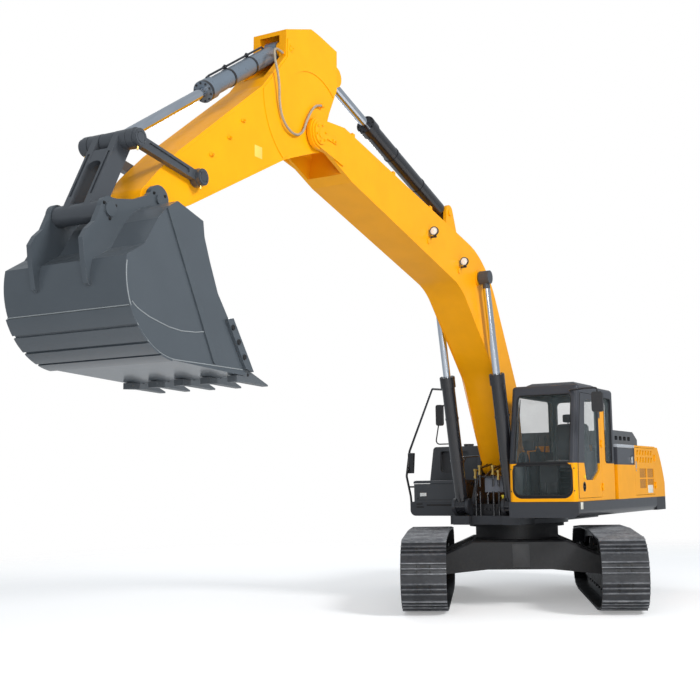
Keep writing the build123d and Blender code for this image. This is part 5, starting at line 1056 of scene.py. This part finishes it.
# The arm: a welded box like the boom, with the horn plates above its pivot. Clips for pipes are
# bolted to its sides, its plates meet in fillet welds, and a small blank plate sits on its left.
ARM_SIDE = 0.205
HORN_SIDE = 0.217
CLIP_SPOTS = ((7.450, 5.270), (7.680, 5.040), (7.970, 4.800))
WELD_SINK = 0.004
WELDS = (
    # name, body, side face, points (x, z)
    ("arm_weld_", "arm", ARM_SIDE, ((6.760, 5.064), (8.270, 4.288), (8.640, 4.110))),
    ("arm_top_weld_", "arm", ARM_SIDE, ((8.420, 4.722), (7.700, 5.262), (7.110, 5.700))),
    ("boom_weld_", "boom", BOOM_SIDE, ((0.660, 2.040), (1.290, 3.230), (2.465, 4.375), (5.370, 5.137))),
)
clips = bmesh.new()
for side in (-1, 1):
    facing = (0, side, 0)
    inner, outer = sorted((side * ARM_SIDE, side * (ARM_SIDE + 0.012)))
    for x, z in CLIP_SPOTS:
        plate(clips, (x - 0.030, inner, z - 0.012), (x + 0.030, outer, z + 0.012), 0.003)
        bar(clips, (x, side * ARM_SIDE, z + 0.006), (x, side * (ARM_SIDE + 0.030), z + 0.006), 0.014)
        bolt(clips, (x, side * (ARM_SIDE + 0.028), z + 0.006), facing, 0.009, 0.010)
    bolt_circle(clips, (CURL_FOOT[0], side * HORN_SIDE, CURL_FOOT[1]), facing, 0.026, 3, 0.008, 0.008)
add_piece("arm_clips", clips, "arm", yellow)
pale_yellow = enamel("plate_yellow", (0.93, 0.60, 0.10), 0.42, dust=YELLOW_DUST)
add_plate("arm_blank_plate", (7.120, ARM_SIDE, 4.965), (7.250, ARM_SIDE + 0.002, 5.085), 0.001, "arm",
          pale_yellow)
for side, end in ((1, "left"), (-1, "right")):
    for name, body, face, points in WELDS:
        bead(name + end, [(x, side * (face - WELD_SINK), z) for x, z in points], body,
             yellow, 0.006)

# The levers and the link: forged steel arms that turn on hardened pins, painted blue-grey like the
# bucket. A bolted disc keeps each pin, and a brass nipple feeds it with grease.
LEVER_FACE = 0.313


def spoke_at(degrees, reach):
    """A step sideways from a pin's axis, at an angle seen from the left."""
    angle = math.radians(degrees)
    return Vector((math.cos(angle), 0, math.sin(angle))) * reach


linkage_paint = enamel("linkage_grey", LINKAGE_GREY, 0.30, 0.3, wear=(0.22, 0.23, 0.24))
finish_nodes(linkage_paint, "side_levers", "bucket_link")
discs = bmesh.new()
nipples = bmesh.new()
for x, z in (LEVER_PIN[:2], CURL_EYE):
    for side in (-1, 1):
        ring_of(discs, (x, side * LEVER_FACE, z), (0, side, 0), 0.070, 0.050, 0.006)
        for angle in (40, 220):
            bolt(discs, Vector((x, side * (LEVER_FACE + 0.006), z)) + spoke_at(angle, 0.060), (0, side, 0),
                 0.008, 0.008)
        bar(nipples, (x + 0.010, side * 0.290, z - 0.080), (x + 0.016, side * 0.290, z - 0.112), 0.010,
            0.007, 8)
add_piece("lever_pin_discs", discs, "side_levers", linkage_paint)
add_piece("lever_grease_nipples", nipples, "side_levers", brass.material)

# The bucket: rolled and welded plate with cast ears, wear strips across the heel and five bolted-on
# teeth, painted blue-grey. The strips and teeth are scuffed bare at their edges.
BLUE_GREY = (0.062, 0.074, 0.086)
TEETH = 5
TOOTH_HALF_SPAN = 0.591
TOOTH_PIN_X, TOOTH_PIN_Z = 8.025, 2.712
EAR_FACE = 0.300
SIDE_FACE = 0.649
CUTTER_FACE = 0.676
HEEL_X, HEEL_Z, HEEL_EDGE, HEEL_SKIN = 9.040, 3.395, 0.636, 0.647
STRIP_ANGLE = -23.4
LIP_CORNER = (8.120, 2.752)
SIDE_BEAD = ((9.610, 3.172), (9.560, 3.136), (9.509, 3.112), (9.399, 3.073), (9.274, 3.044), (9.147, 3.018),
             (8.990, 3.004), (8.802, 3.012), (8.640, 3.036))
bucket_paint = enamel("bucket_blue_grey", BLUE_GREY, 0.30, 0.35, wear=(0.24, 0.25, 0.26), dirt_top=2.0)
finish_nodes(bucket_paint, "bucket", "side_cutters")
tooth_paint = enamel("tooth_grey", (0.085, 0.095, 0.105), 0.42, 0.0, wear=(0.34, 0.34, 0.34),
                     dirt_top=2.0)
finish_nodes(tooth_paint, "bucket_teeth")
bucket_bolts = bmesh.new()
for side in (-1, 1):
    for x, z in ((8.300, 3.105), (8.215, 2.985), (8.130, 2.860)):
        bar(bucket_bolts, (x, side * CUTTER_FACE, z), (x, side * (CUTTER_FACE + 0.012), z), 0.026, 0.024, 6)
    for x, z, reach in ((9.475, 3.970, 0.080), (8.845, 4.180, 0.084)):
        for angle in (30, 150, 270):
            bolt(bucket_bolts, Vector((x, side * EAR_FACE, z)) + spoke_at(angle, reach), (0, side, 0),
                 0.011, 0.012)
add_piece("bucket_bolts", bucket_bolts, "bucket", dark_bolts)
tooth_pins = bmesh.new()
for number in range(TEETH):
    y = -TOOTH_HALF_SPAN + number * 2 * TOOTH_HALF_SPAN / (TEETH - 1)
    bar(tooth_pins, (TOOTH_PIN_X, y - 0.054, TOOTH_PIN_Z), (TOOTH_PIN_X, y + 0.054, TOOTH_PIN_Z), 0.014)
add_piece("tooth_pins", tooth_pins, "bucket", dark_bolts)

# The beads stand for real welds, but their pale grey is a painted highlight along the bucket's edges and
# across the heel.
weld_bead_highlight_paint = enamel("weld_bead_painted_highlight", (0.24, 0.26, 0.27), 0.36, 0.1)
heel = Vector((HEEL_X, 0, HEEL_Z))
for side, name in ((1, "left"), (-1, "right")):
    across = Vector((0, side * SIDE_FACE, 0))
    edge = [heel + across + spoke_at(angle, HEEL_EDGE) for angle in range(8, -91, -3)]
    edge.append(Vector((LIP_CORNER[0], 0, LIP_CORNER[1])) + across)
    bead("bucket_edge_weld_highlight_" + name, edge, "bucket", weld_bead_highlight_paint, 0.005)
    bead("bucket_side_weld_highlight_" + name, [Vector((x, 0, z)) + across for x, z in SIDE_BEAD], "bucket",
         weld_bead_highlight_paint, 0.005)
corner = heel + spoke_at(STRIP_ANGLE, HEEL_SKIN)
bead("heel_weld_highlight", [(corner.x, y, corner.z) for y in (-0.648, 0.648)], "bucket", weld_bead_highlight_paint,
     0.006)
